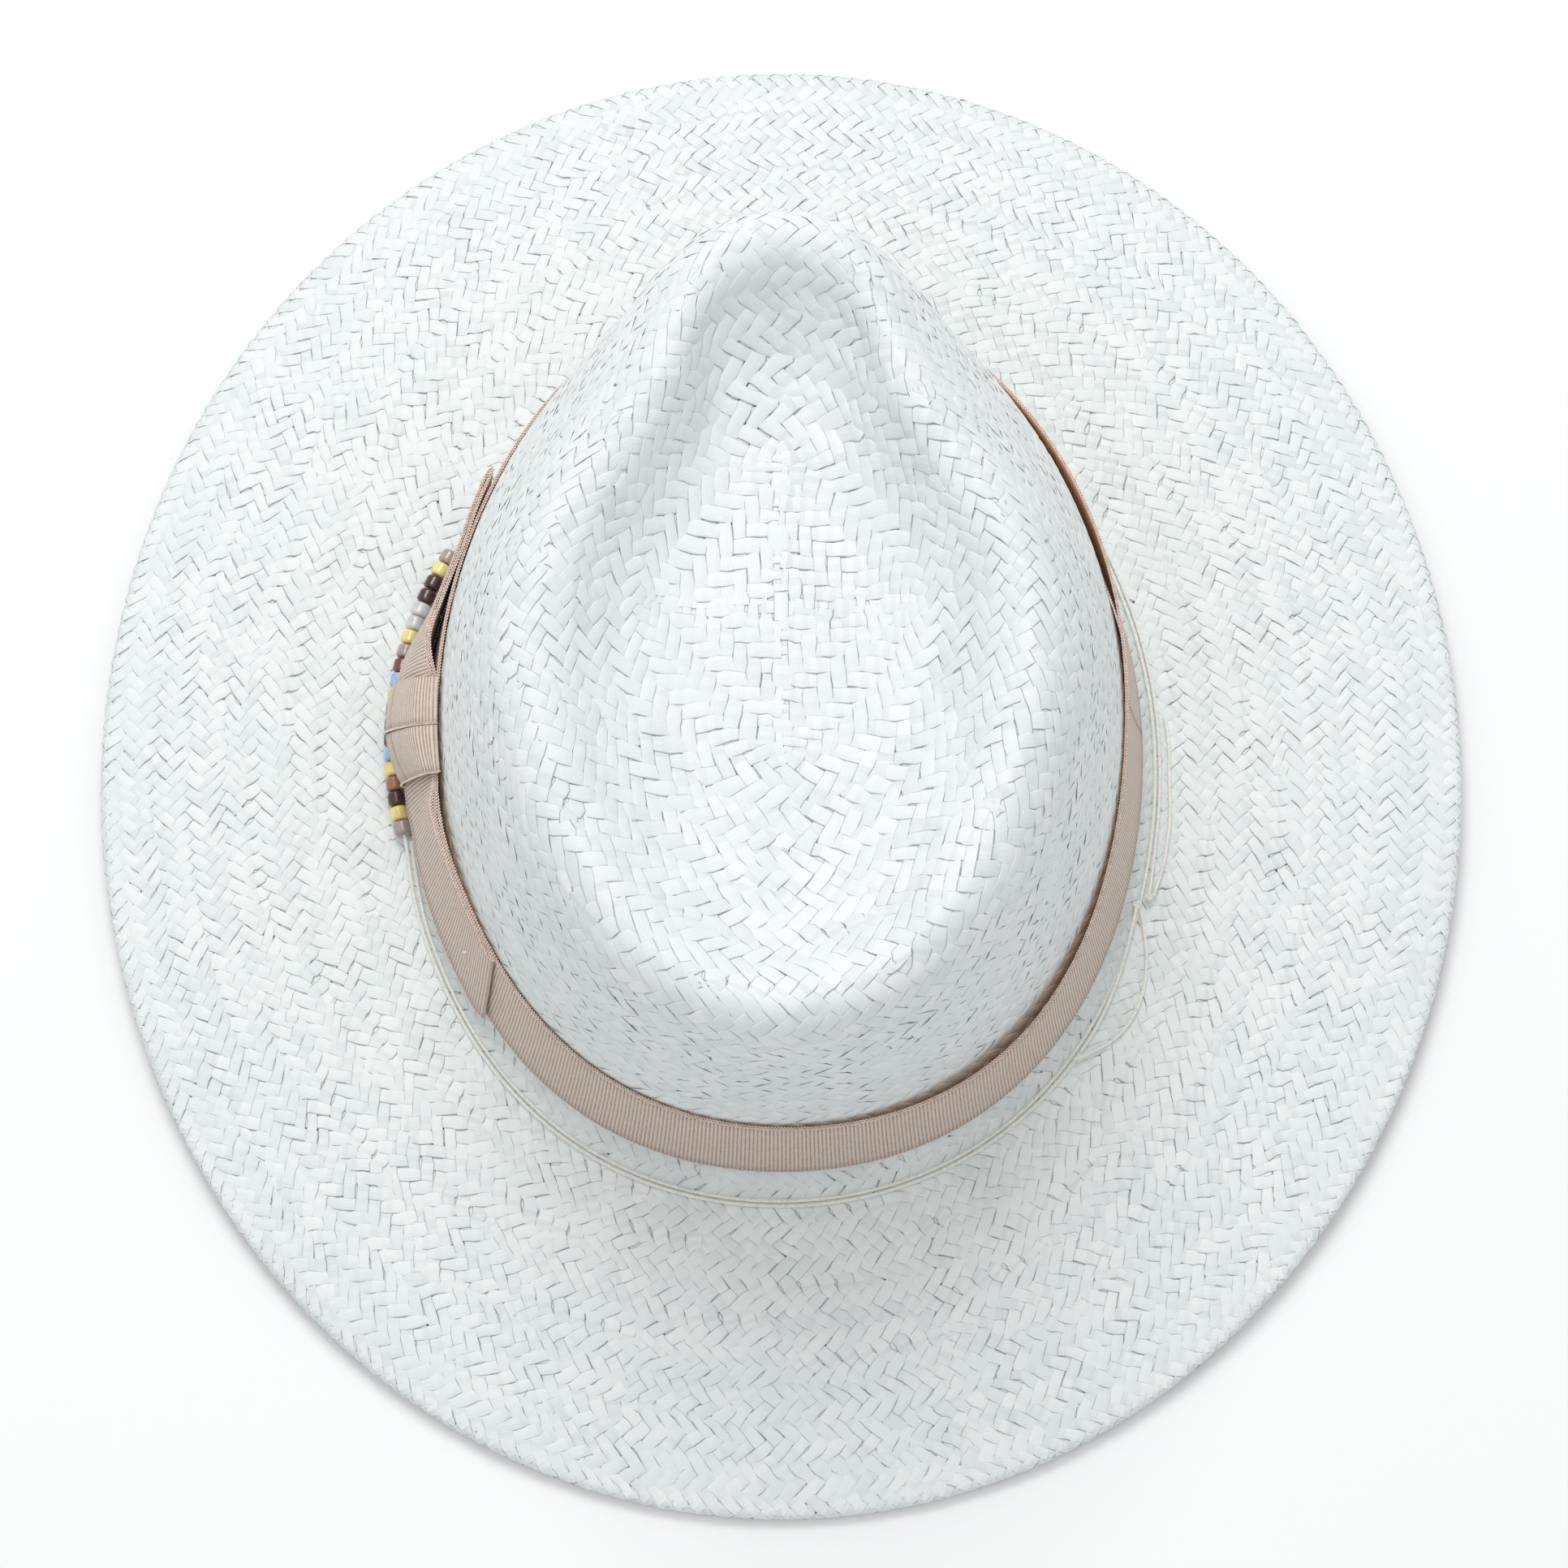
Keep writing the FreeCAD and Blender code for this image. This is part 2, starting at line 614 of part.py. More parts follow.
def make_second_strand():
    """The second strand, which lies inside the first from the last bead around to the first."""
    start = bead_point(BEAD_ARC_END + 0.9 * BEAD_STEP) + V(1.2, 0.0, -0.3)
    under_first = [
        head_point(math.radians(turn), out, foot_height(math.radians(turn), out))
        for turn, out in ((142.0, 3.0), (148.0, 2.2), (152.0, 1.9))
    ]
    return tube("second_strand", [start, *around_foot(202.0, 495.0, 44, STRAND_SPACING), *under_first])


def make_knot(middle, scale):
    knot = Part.makeSphere(KNOT_RADIUS * scale)
    knot.translate(middle)
    return knot


def build():
    parts = {
        "crown": make_crown(),
        "brim": make_brim(),
        "brim_hem": make_brim_hem(),
        "hem_stitches": make_hem_stitches(),
        "sweatband": make_sweatband(),
        "sweatband_lap": make_sweatband_lap(),
        "sweatband_stitches": make_sweatband_stitches(),
        "ribbon_band": make_ribbon_band(),
        "bow_front_loop": make_bow_loop(FRONT_LOOP_ROOT, FRONT_LOOP_END),
        "bow_rear_loop": make_bow_loop(REAR_LOOP_ROOT, REAR_LOOP_END),
        "bow_front_wrap": make_bow_wrap(FRONT_WRAP),
        "bow_rear_wrap": make_bow_wrap(REAR_WRAP),
        "bow_tacks": make_bow_tacks(),
        "bead_cord": make_bead_cord(),
        "second_strand": make_second_strand(),
        "cord_knot_inner": make_knot(KNOT_INNER, 1.0),
        "cord_knot_outer": make_knot(KNOT_OUTER, 0.85),
        "cord_tail_forward": tube("cord_tail_forward", TAIL_FORWARD),
        "cord_tail_back": tube("cord_tail_back", TAIL_BACK),
    }
    for i, (middle, axis) in enumerate(bead_places()):
        parts[f"bead_{i + 1:02d}"] = make_bead(middle, axis)
    return parts


def main():
    os.makedirs("parts", exist_ok=True)
    for name, shape in build().items():
        box = shape.BoundBox
        print(
            f"{name}: valid {shape.isValid()}, solids {len(shape.Solids)}, volume {shape.Volume:.0f}, "
            f"z {box.ZMin:.2f} to {box.ZMax:.2f}"
        )
        shape.exportStep(f"parts/{name}.step")


main()
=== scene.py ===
"""Looks for the woven wide-brim hat: straw weave, grosgrain ribbon, bow, bead string, camera and light.

Shapes are worked out in millimetres and go into meshes in metres.
"""

import math
from collections import namedtuple

import bpy
import numpy as np
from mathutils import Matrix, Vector


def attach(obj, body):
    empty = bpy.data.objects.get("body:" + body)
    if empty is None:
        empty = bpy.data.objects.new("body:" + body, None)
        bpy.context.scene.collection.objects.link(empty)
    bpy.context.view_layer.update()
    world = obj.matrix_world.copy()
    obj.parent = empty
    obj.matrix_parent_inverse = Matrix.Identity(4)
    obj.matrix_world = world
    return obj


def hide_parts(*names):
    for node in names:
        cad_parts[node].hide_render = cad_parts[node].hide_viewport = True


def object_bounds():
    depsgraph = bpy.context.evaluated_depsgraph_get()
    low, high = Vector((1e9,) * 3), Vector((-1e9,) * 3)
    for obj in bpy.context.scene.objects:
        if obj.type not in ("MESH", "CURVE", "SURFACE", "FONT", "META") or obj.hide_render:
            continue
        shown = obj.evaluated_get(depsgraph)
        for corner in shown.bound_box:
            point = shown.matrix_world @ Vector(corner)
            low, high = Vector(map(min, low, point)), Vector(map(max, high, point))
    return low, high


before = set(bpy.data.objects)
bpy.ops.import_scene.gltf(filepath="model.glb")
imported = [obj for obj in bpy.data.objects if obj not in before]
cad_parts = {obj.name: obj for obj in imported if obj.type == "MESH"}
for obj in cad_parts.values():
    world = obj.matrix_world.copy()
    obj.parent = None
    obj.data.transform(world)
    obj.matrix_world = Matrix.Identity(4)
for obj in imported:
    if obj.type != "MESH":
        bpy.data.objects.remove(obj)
cad_box = [[float(v) for v in corner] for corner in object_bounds()]

MM = 0.001
TURN = 2.0 * math.pi
rng = np.random.default_rng(11)

# ---------------------------------------------------------------- shape of the hat, in mm
# As in the CAD source, but for the lower wall, which is pinched and filled a little differently.
STRAW = 1.8
Z_CUT = 15.0
ROOT_RADIUS = 6.0
ROOT_START = math.radians(10.0)
HEAD_HALF_WIDTH = 83.1
HEAD_HALF_LENGTH = 103.0
HEAD_FORWARD = 1.7
BRIM_HALF_WIDTH = 158.4
BRIM_HALF_LENGTH = 177.2
BRIM_SIDE_LIFT = 3.5
BRIM_DROP_POWER = 1.5
PINCH_PLACE = 0.68
PINCH_SPREAD = 0.40
HEM_DEPTH = 3.25
BRIM_EDGE_Z = HEM_DEPTH
HEM_WIDTH = 9.0
SECTIONS = np.array([              # z at the back, z at the front, half width, front, back, pinch, fullness
    (Z_CUT, Z_CUT, HEAD_HALF_WIDTH, HEAD_HALF_LENGTH, -HEAD_HALF_LENGTH, 0.085, 0.030),
    (29.0, 29.0, 79.7, 100.5, -100.7, 0.055, 0.025),
    (43.0, 43.0, 76.8, 98.0, -98.6, 0.03, 0.020),
    (61.0, 64.0, 72.8, 95.0, -97.8, 0.08, 0.020),
    (80.0, 87.0, 69.0, 91.5, -97.4, 0.17, 0.015),
    (95.0, 105.5, 65.4, 88.2, -97.0, 0.25, 0.010),
    (104.0, 116.5, 62.2, 85.2, -96.2, 0.31, 0.005),
    (109.6, 123.0, 58.4, 81.8, -93.8, 0.35, 0.0),
    (112.0, 126.0, 53.4, 77.2, -89.4, 0.37, 0.0),
    (110.8, 124.3, 47.8, 72.0, -84.2, 0.37, 0.0),
    (106.4, 116.5, 40.8, 65.2, -76.6, 0.35, 0.0),
    (102.4, 108.0, 32.0, 54.5, -64.5, 0.29, 0.0),
    (100.9, 103.6, 22.0, 39.0, -48.0, 0.20, 0.0),
    (101.1, 102.4, 13.0, 24.5, -29.0, 0.11, 0.0),
    (101.5, 102.0, 6.5, 12.0, -13.0, 0.05, 0.0),
    (101.8, 101.8, 2.5, 4.5, -4.5, 0.0, 0.0),
])
ROOT_OUT = ROOT_RADIUS * math.cos(ROOT_START)
ROOT_CENTRE_Z = Z_CUT + ROOT_RADIUS * math.sin(ROOT_START)
BRIM_TOP_Z = ROOT_CENTRE_Z - ROOT_RADIUS


def unit(vectors):
    return vectors / np.maximum(np.linalg.norm(vectors, axis=-1, keepdims=True), 1e-9)


def section_points(row, angle):
    """Points on a crown section (an array of seven numbers) at the given angles."""
    z_back, z_front, half_width, front, back, pinch, fullness = row
    s, c = np.sin(angle), np.cos(angle)
    full = 1.0 + fullness * np.sin(2.0 * angle) ** 2
    narrow = 1.0 - pinch * np.exp(-(((s - PINCH_PLACE) / PINCH_SPREAD) ** 2))
    middle, half_length = 0.5 * (front + back), 0.5 * (front - back)
    z = z_back + (z_front - z_back) * 0.5 * (1.0 + s)
    return np.stack([half_width * c * full * narrow, HEAD_FORWARD + middle + half_length * s * full, z], axis=-1)


def level_normals(row, angle):
    step = 1e-3
    along = section_points(row, angle + step) - section_points(row, angle - step)
    return unit(np.stack([along[..., 1], -along[..., 0], np.zeros_like(angle)], axis=-1))


def wall_row(z):
    """The wall section at a height, between the two nearest given ones."""
    levels = SECTIONS[:6, 0]
    i = int(np.clip(np.searchsorted(levels, z, side="right") - 1, 0, len(levels) - 2))
    t = (z - levels[i]) / (levels[i + 1] - levels[i])
    row = SECTIONS[i] + (SECTIONS[i + 1] - SECTIONS[i]) * t
    row[0] = row[1] = z
    return row


def wall_point(angle, z, gap):
    """One point beside the crown wall, at a gap outside the straw's outer face."""
    row = wall_row(z)
    a = np.array([angle])
    return (section_points(row, a) + level_normals(row, a) * gap)[0]


def side_angle(y):
    """The angle on the wearer's left at which the head oval reaches y, from the oval's own middle."""
    return math.pi - math.asin(y / HEAD_HALF_LENGTH)


def head_points(angle, out, z):
    flat = section_points(SECTIONS[0], angle) + level_normals(SECTIONS[0], angle) * out
    flat[..., 2] = z
    return flat


def head_point(degrees, out, z):
    return head_points(np.array([math.radians(degrees)]), out, z)[0]


def reach_along(points):
    """How far along its line each point is; the first axis runs along the line."""
    steps = np.linalg.norm(np.diff(points, axis=0), axis=-1)
    return np.concatenate([np.zeros_like(steps[:1]), np.cumsum(steps, axis=0)])


def smooth_rows(rows, steps):
    """Rows of points with extra rows between them, on curves through the given ones."""
    rows = np.asarray(rows, float)
    gaps = np.linalg.norm(np.diff(rows, axis=0), axis=-1)
    gaps = np.maximum(gaps.reshape(len(rows) - 1, -1).mean(axis=1), 1e-6)
    shape = (-1,) + (1,) * (rows.ndim - 1)
    slopes = np.diff(rows, axis=0) / gaps.reshape(shape)
    tangents = np.empty_like(rows)
    before, after = gaps[:-1].reshape(shape), gaps[1:].reshape(shape)
    tangents[1:-1] = (slopes[:-1] * after + slopes[1:] * before) / (before + after)
    tangents[0], tangents[-1] = slopes[0], slopes[-1]
    out = []
    for i in range(len(rows) - 1):
        for k in range(steps):
            t = k / steps
            h00, h10 = 2 * t**3 - 3 * t**2 + 1, t**3 - 2 * t**2 + t
            h01, h11 = -2 * t**3 + 3 * t**2, t**3 - t**2
            out.append(
                h00 * rows[i] + h10 * gaps[i] * tangents[i] + h01 * rows[i + 1] + h11 * gaps[i] * tangents[i + 1]
            )
    out.append(rows[-1])
    return np.array(out)


# ---------------------------------------------------------------- mesh helpers
def mesh_piece(name, verts_mm, faces, attributes=None):
    """A mesh object from points in mm; attributes are one number per point."""
    mesh = bpy.data.meshes.new(name)
    verts = np.asarray(verts_mm, dtype=np.float32) * MM
    faces = np.asarray(faces, dtype=np.int32)
    mesh.vertices.add(len(verts))
    mesh.vertices.foreach_set("co", verts.ravel())
    mesh.loops.add(faces.size)
    mesh.loops.foreach_set("vertex_index", faces.ravel())
    mesh.polygons.add(len(faces))
    mesh.polygons.foreach_set("loop_start", np.arange(0, faces.size, 4, dtype=np.int32))
    mesh.polygons.foreach_set("use_smooth", np.ones(len(faces), dtype=bool))
    mesh.update(calc_edges=True)
    mesh.validate()
    for key, values in (attributes or {}).items():
        layer = mesh.attributes.new(key, "FLOAT", "POINT")
        layer.data.foreach_set("value", np.asarray(values, dtype=np.float32).ravel())
    piece = bpy.data.objects.new(name, mesh)
    bpy.context.scene.collection.objects.link(piece)
    return piece


def grid_faces(rows, columns, closed_rows=False, closed_columns=False):
    """Quads between neighbouring points of a grid numbered row by row."""
    i = np.arange(rows if closed_rows else rows - 1)
    j = np.arange(columns if closed_columns else columns - 1)
    i, j = (a.ravel() for a in np.meshgrid(i, j, indexing="ij"))
    i2, j2 = (i + 1) % rows, (j + 1) % columns
    return np.stack([i * columns + j, i * columns + j2, i2 * columns + j2, i2 * columns + j], axis=-1)


def finish_piece(piece, material, nodes=()):
    piece.data.materials.append(material)
    if nodes:
        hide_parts(*nodes)
    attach(piece, "hat")
    return piece


# ---------------------------------------------------------------- materials
class Shader:
    """A Principled material with a few node shortcuts."""

    def __init__(self, name, roughness=0.6, **settings):
        self.material = bpy.data.materials.new(name)
        self.material.use_nodes = True
        self.tree = self.material.node_tree
        self.nodes = self.tree.nodes
        self.bsdf = self.nodes["Principled BSDF"]
        self.bsdf.inputs["Roughness"].default_value = roughness
        for key, value in settings.items():
            self.bsdf.inputs[key.replace("_", " ")].default_value = value

    def feed(self, socket, value):
        """Sets a socket to a number or a colour, or links another node's output to it."""
        if isinstance(value, tuple):
            socket.default_value = (*value, 1.0)
        elif isinstance(value, (int, float)):
            socket.default_value = value
        else:
            self.tree.links.new(value, socket)

    def attribute(self, name):
        node = self.nodes.new("ShaderNodeAttribute")
        node.attribute_name = name
        return node.outputs["Fac"]

    def coordinates(self):
        return self.nodes.new("ShaderNodeTexCoord").outputs["Object"]

    def math(self, operation, a, b=0.0):
        node = self.nodes.new("ShaderNodeMath")
        node.operation = operation
        for socket, value in zip(node.inputs, (a, b)):
            self.feed(socket, value)
        return node.outputs[0]

    def times(self, a, b):
        return self.math("MULTIPLY", a, b)

    def blend(self, a, share, b):
        """A mixture with the given share of a, and b for the rest."""
        return self.math("ADD", self.times(a, share), self.times(b, round(1.0 - share, 3)))

    def wave(self, value, pitch):
        return self.math("SINE", self.times(value, TURN / pitch))

    def half_up(self, value):
        """From the range -1 to 1 to the range 0 to 1."""
        return self.math("ADD", self.times(value, 0.5), 0.5)

    def combine(self, x, y, z):
        node = self.nodes.new("ShaderNodeCombineXYZ")
        for socket, value in zip(node.inputs, (x, y, z)):
            self.feed(socket, value)
        return node.outputs[0]

    def noise(self, scale, detail=3.0, vector=None):
        """Noise over the piece's own coordinates, or over the given ones."""
        node = self.nodes.new("ShaderNodeTexNoise")
        node.inputs["Scale"].default_value = scale
        node.inputs["Detail"].default_value = detail
        self.feed(node.inputs["Vector"], vector or self.coordinates())
        return node.outputs["Fac"]

    def ramp(self, value, stops):
        node = self.nodes.new("ShaderNodeValToRGB")
        elements = node.color_ramp.elements
        for i, (place, colour) in enumerate(stops):
            element = elements[i] if i < 2 else elements.new(place)
            element.position = place
            element.color = (*colour, 1.0)
        self.feed(node.inputs["Fac"], value)
        return node.outputs["Color"]

    def mix(self, amount, a, b):
        node = self.nodes.new("ShaderNodeMix")
        node.data_type = "RGBA"
        for socket, value in ((node.inputs[0], amount), (node.inputs[6], a), (node.inputs[7], b)):
            self.feed(socket, value)
        return node.outputs[2]

    def bump(self, height, strength, distance):
        node = self.nodes.new("ShaderNodeBump")
        node.inputs["Strength"].default_value = strength
        node.inputs["Distance"].default_value = distance
        self.feed(node.inputs["Height"], height)
        self.feed(self.bsdf.inputs["Normal"], node.outputs["Normal"])

    def colour(self, value):
        self.feed(self.bsdf.inputs["Base Color"], value)


def straw_material(name):
    """Flat paper straw: off-white, each float a little different, with fine creases along its length."""
    m = Shader(name, roughness=0.5)
    along, across, tone = (m.attribute(key) for key in ("along", "across", "tone"))
    parts = ((along, 0.12), (across, 2.2), (tone, 40.0))
    streak_at = m.combine(*(m.times(value, by) for value, by in parts))
    streaks = m.noise(1.6, 4.0, streak_at)
    shade = m.blend(tone, 0.6, streaks)
    base = m.ramp(shade, [(0.15, (0.73, 0.785, 0.775)), (0.45, (0.785, 0.83, 0.82)), (0.8, (0.835, 0.87, 0.86))])
    blotches = m.noise(22.0, 2.0)
    base = m.mix(m.times(blotches, 0.10), base, (0.80, 0.86, 0.85))
    m.colour(base)
    m.bump(streaks, 0.4, 0.0003)
    return m.material


def ribbon_material(name, inside=(0.42, 0.19, 0.12), pitch=0.9):
    """Grosgrain: ribs across the ribbon, with a fine weave in each rib. Its colour has painted shade in the grooves
    between the ribs and a painted light colour on the inner face.
    """
    m = Shader(name, roughness=0.72, Sheen_Weight=0.25, Sheen_Roughness=0.5)
    m.bsdf.inputs["Sheen Tint"].default_value = (1.0, 0.9, 0.85, 1.0)
    along, across = m.attribute("along"), m.attribute("across")
    rib_up = m.half_up(m.wave(along, pitch))
    fuzz = m.noise(900.0, 3.0)
    # shade mixes painted shade, darkest in the grooves between the ribs, with random fibre tone
    shade = m.blend(rib_up, 0.65, fuzz)
    base = m.ramp(shade, [(0.15, (0.34, 0.24, 0.19)), (0.42, (0.64, 0.52, 0.44)), (0.85, (0.755, 0.64, 0.555))])
    # Faces marked inside take the inside colour, which is painted light: reddish-brown shade on the bow loops, an
    # orange glow of light through the ribbon on the band.
    m.colour(m.mix(m.attribute("inside"), base, inside))
    m.bump(m.math("ADD", rib_up, m.times(m.wave(across, 0.55), 0.12)), 0.6, 0.00025)
    return m.material


def thread_material(name, dark, light, roughness=0.7, scale=1500.0, detail=3.0, relief=0.5):
    """Sewing thread and yarn, with fine fuzz."""
    m = Shader(name, roughness=roughness, Sheen_Weight=0.2)
    fuzz = m.noise(scale, detail)
    m.colour(m.ramp(fuzz, [(0.3, dark), (0.7, light)]))
    m.bump(fuzz, relief, 0.0001)
    return m.material


def tape_material(name):
    """Plain-woven cotton tape for the sweatband, with painted shade in the hollows of the weave."""
    m = Shader(name, roughness=0.85, Sheen_Weight=0.15)
    along, across = m.attribute("along"), m.attribute("across")
    weave = m.half_up(m.times(m.wave(along, 1.1), m.wave(across, 1.1)))
    fuzz = m.noise(700.0, 3.0)
    # shade mixes painted shade, darkest in the weave's hollows, with random fibre tone
    shade = m.blend(weave, 0.6, fuzz)
    m.colour(m.ramp(shade, [(0.2, (0.60, 0.54, 0.44)), (0.8, (0.80, 0.75, 0.65))]))
    m.bump(weave, 0.5, 0.0003)
    return m.material


def bead_material(name, colour, clear=False):
    m = Shader(name, roughness=0.12, Coat_Weight=0.6, Coat_Roughness=0.05)
    cloud = m.noise(350.0, 2.0)
    low, high = (tuple(min(1.0, k * v) for v in colour) for k in (0.82, 1.12))
    m.colour(m.ramp(cloud, [(0.3, low), (0.7, high)]))
    m.bump(cloud, 0.15, 0.0001)
    if clear:
        m.bsdf.inputs["Transmission Weight"].default_value = 0.4
        m.bsdf.inputs["IOR"].default_value = 1.5
        m.bsdf.inputs["Roughness"].default_value = 0.3
    else:
        m.bsdf.inputs["Subsurface Weight"].default_value = 0.1
        m.bsdf.inputs["Subsurface Scale"].default_value = 0.001
    return m.material


# ---------------------------------------------------------------- camera
def aim(thing, target):
    direction = Vector(target) - thing.location
    thing.rotation_euler = direction.to_track_quat("-Z", "Y").to_euler()


camera_data = bpy.data.cameras.new("camera")
camera_data.lens = 101.8
camera_data.sensor_width = 36.0
camera = bpy.data.objects.new("camera", camera_data)
camera.location = (0.0, -0.3208, 0.9872)
aim(camera, (0.0006, -0.0054, 0.0))
bpy.context.scene.collection.objects.link(camera)
bpy.context.scene.camera = camera

# ---------------------------------------------------------------- cords
CORD_RADIUS = 0.4
BEAD_COUNT = 20
BEAD_ARC_CENTRE = (-3.3, 1.7)
BEAD_ARC_RADIUS = 86.6
BEAD_ARC_START = 149.4
BEAD_ARC_END = 194.5
BEAD_STEP = (BEAD_ARC_END - BEAD_ARC_START) / (BEAD_COUNT - 1)
BEAD_Z_FRONT = 14.1
BEAD_Z_BACK = 12.6
CORD_OUT = 5.0
CORD_OUT_BACK = 2.2
CORD_OUT_BEADS = 1.8
CORD_CLEAR = 0.3
STRAND_SPACING = 1.2
KNOT_INNER = np.array((81.3, -38.6, 12.25))
KNOT_OUTER = np.array((84.1, -36.6, 11.7))


def bump_at(degrees, middle, spread):
    away = (degrees - middle + 180.0) % 360.0 - 180.0
    return math.exp(-((away / spread) ** 2))


def brim_z(angle, t):
    edge = BRIM_EDGE_Z + BRIM_SIDE_LIFT * np.cos(angle) ** 2
    return BRIM_TOP_Z + (edge - BRIM_TOP_Z) * t**BRIM_DROP_POWER


def foot_height(degrees, out):
    """How high a cord lies on the brim or on the curved root at the crown's foot."""
    angle = math.radians(degrees)
    clear = CORD_RADIUS + CORD_CLEAR
    if out < ROOT_OUT:
        return ROOT_CENTRE_Z - math.sqrt((ROOT_RADIUS - clear) ** 2 - (ROOT_OUT - out) ** 2)
    start = head_point(degrees, ROOT_OUT, 0.0)
    edge = (BRIM_HALF_WIDTH * math.cos(angle), BRIM_HALF_LENGTH * math.sin(angle))
    t = (out - ROOT_OUT) / math.hypot(edge[0] - start[0], edge[1] - start[1])
    return float(brim_z(angle, t)) + clear


def around_foot(first, last, steps, inward=0.0):
    points = []
    for i in range(steps):
        degrees = first + (last - first) * i / (steps - 1)
        out = (
            CORD_OUT + CORD_OUT_BACK * bump_at(degrees, 265.0, 50.0)
            + CORD_OUT_BEADS * bump_at(degrees, 190.0, 11.0) - inward
        )
        points.append(head_point(degrees, out, foot_height(degrees, out)))
    return points


def bead_point(turn):
    t = min(1.0, max(0.0, (turn - BEAD_ARC_START) / (BEAD_ARC_END - BEAD_ARC_START)))
    phi = math.radians(turn)
    x, y = BEAD_ARC_CENTRE
    return np.array((
        x + BEAD_ARC_RADIUS * math.cos(phi),
        y + BEAD_ARC_RADIUS * math.sin(phi),
        BEAD_Z_FRONT + (BEAD_Z_BACK - BEAD_Z_FRONT) * t,
    ))


def cord_curve(name, points_mm, radius=CORD_RADIUS):
    """A cord as one open NURBS spline."""
    curve = bpy.data.curves.new(name, "CURVE")
    curve.dimensions = "3D"
    curve.bevel_depth = radius * MM
    curve.bevel_resolution = 3
    curve.use_fill_caps = True
    curve.resolution_u = 8
    spline = curve.splines.new("NURBS")
    spline.points.add(len(points_mm) - 1)
    for point, place in zip(spline.points, points_mm):
        point.co = (*(float(v) * MM for v in place), 1.0)
    spline.order_u = 3
    spline.use_endpoint_u = True
    piece = bpy.data.objects.new(name, curve)
    bpy.context.scene.collection.objects.link(piece)
    return piece


cord_look = thread_material("cord_thread", (0.74, 0.73, 0.67), (0.93, 0.93, 0.89))
through_beads = [bead_point(BEAD_ARC_START + BEAD_STEP * (i - 1.0)) for i in range(BEAD_COUNT + 2)]
over_second = [head_point(*place) for place in ((326.0, 5.0, 11.6), (331.0, 4.3, 12.2), (335.0, 3.6, 12.5))]
climb = [head_point(*place) for place in ((142.0, 4.6, 11.5), (147.5, 3.9, 12.9))]
under_first = [
    head_point(turn, out, foot_height(turn, out)) for turn, out in ((142.0, 3.0), (148.0, 2.2), (152.0, 1.9))
]
main_route = [
    KNOT_OUTER, *around_foot(347.0, 497.0, 18), *climb, *through_beads,
    *around_foot(202.0, 321.0, 15), *over_second, KNOT_INNER,
]
second_route = [
    bead_point(BEAD_ARC_END + 0.9 * BEAD_STEP) + (1.2, 0.0, -0.3),
    *around_foot(202.0, 495.0, 44, STRAND_SPACING), *under_first,
]
TAIL_FORWARD = [
    KNOT_OUTER + (1.05, 0.3, -0.1), (87.3, -30.6, 11.3), (88.9, -23.0, 10.9), (89.8, -14.9, 10.8),
    (89.6, -6.8, 10.8), (90.0, 1.2, 10.8), (89.0, 7.4, 10.8),
]
TAIL_BACK = [
    KNOT_INNER + (0.85, -0.8, 0.05), (83.0, -45.2, 11.5), (83.4, -52.6, 11.0), (82.0, -60.4, 10.8),
    (78.4, -67.2, 10.7), (72.8, -72.0, 10.7), (66.0, -74.9, 12.3),
]
finish_piece(cord_curve("bead_thread", main_route), cord_look, ["bead_cord"])
finish_piece(cord_curve("second_thread", second_route), cord_look, ["second_strand"])
for name, node, route, length in (
    ("tail_thread_forward", "cord_tail_forward", TAIL_FORWARD, 0.0444),
    ("tail_thread_back", "cord_tail_back", TAIL_BACK, 0.0437),
):
    tail = finish_piece(cord_curve(name, route), cord_look, [node])


def knot_piece(name, middle, size):
    """An overhand knot pulled tight."""
    route = []
    for i in range(25):
        a = TURN * i / 24.0
        route.append(middle + size * np.array((
            0.33 * (math.sin(a) + 2.0 * math.sin(2.0 * a)),
            0.33 * (math.cos(a) - 2.0 * math.cos(2.0 * a)),
            -0.5 * math.sin(3.0 * a),
        )))
    return cord_curve(name, route, 0.36)


finish_piece(knot_piece("tied_knot_inner", KNOT_INNER, 0.85), cord_look, ["cord_knot_inner"])
finish_piece(knot_piece("tied_knot_outer", KNOT_OUTER, 0.72), cord_look, ["cord_knot_outer"])


# ---------------------------------------------------------------- straw weave
PITCH = 3.15                       # between neighbouring strands of the crown
BRIM_PITCH = 2.78                  # and of the brim
MID_DEPTH = 0.40                   # how deep the weave's middle lies below the straw's outer face
LIFT = 0.155                       # how far a strand lies above or below the middle
STRAND_HALF = 0.15                 # half a strand's thickness
FRACTIONS = 1440
THETAS = 720
DISTANCE_STEP = 0.5


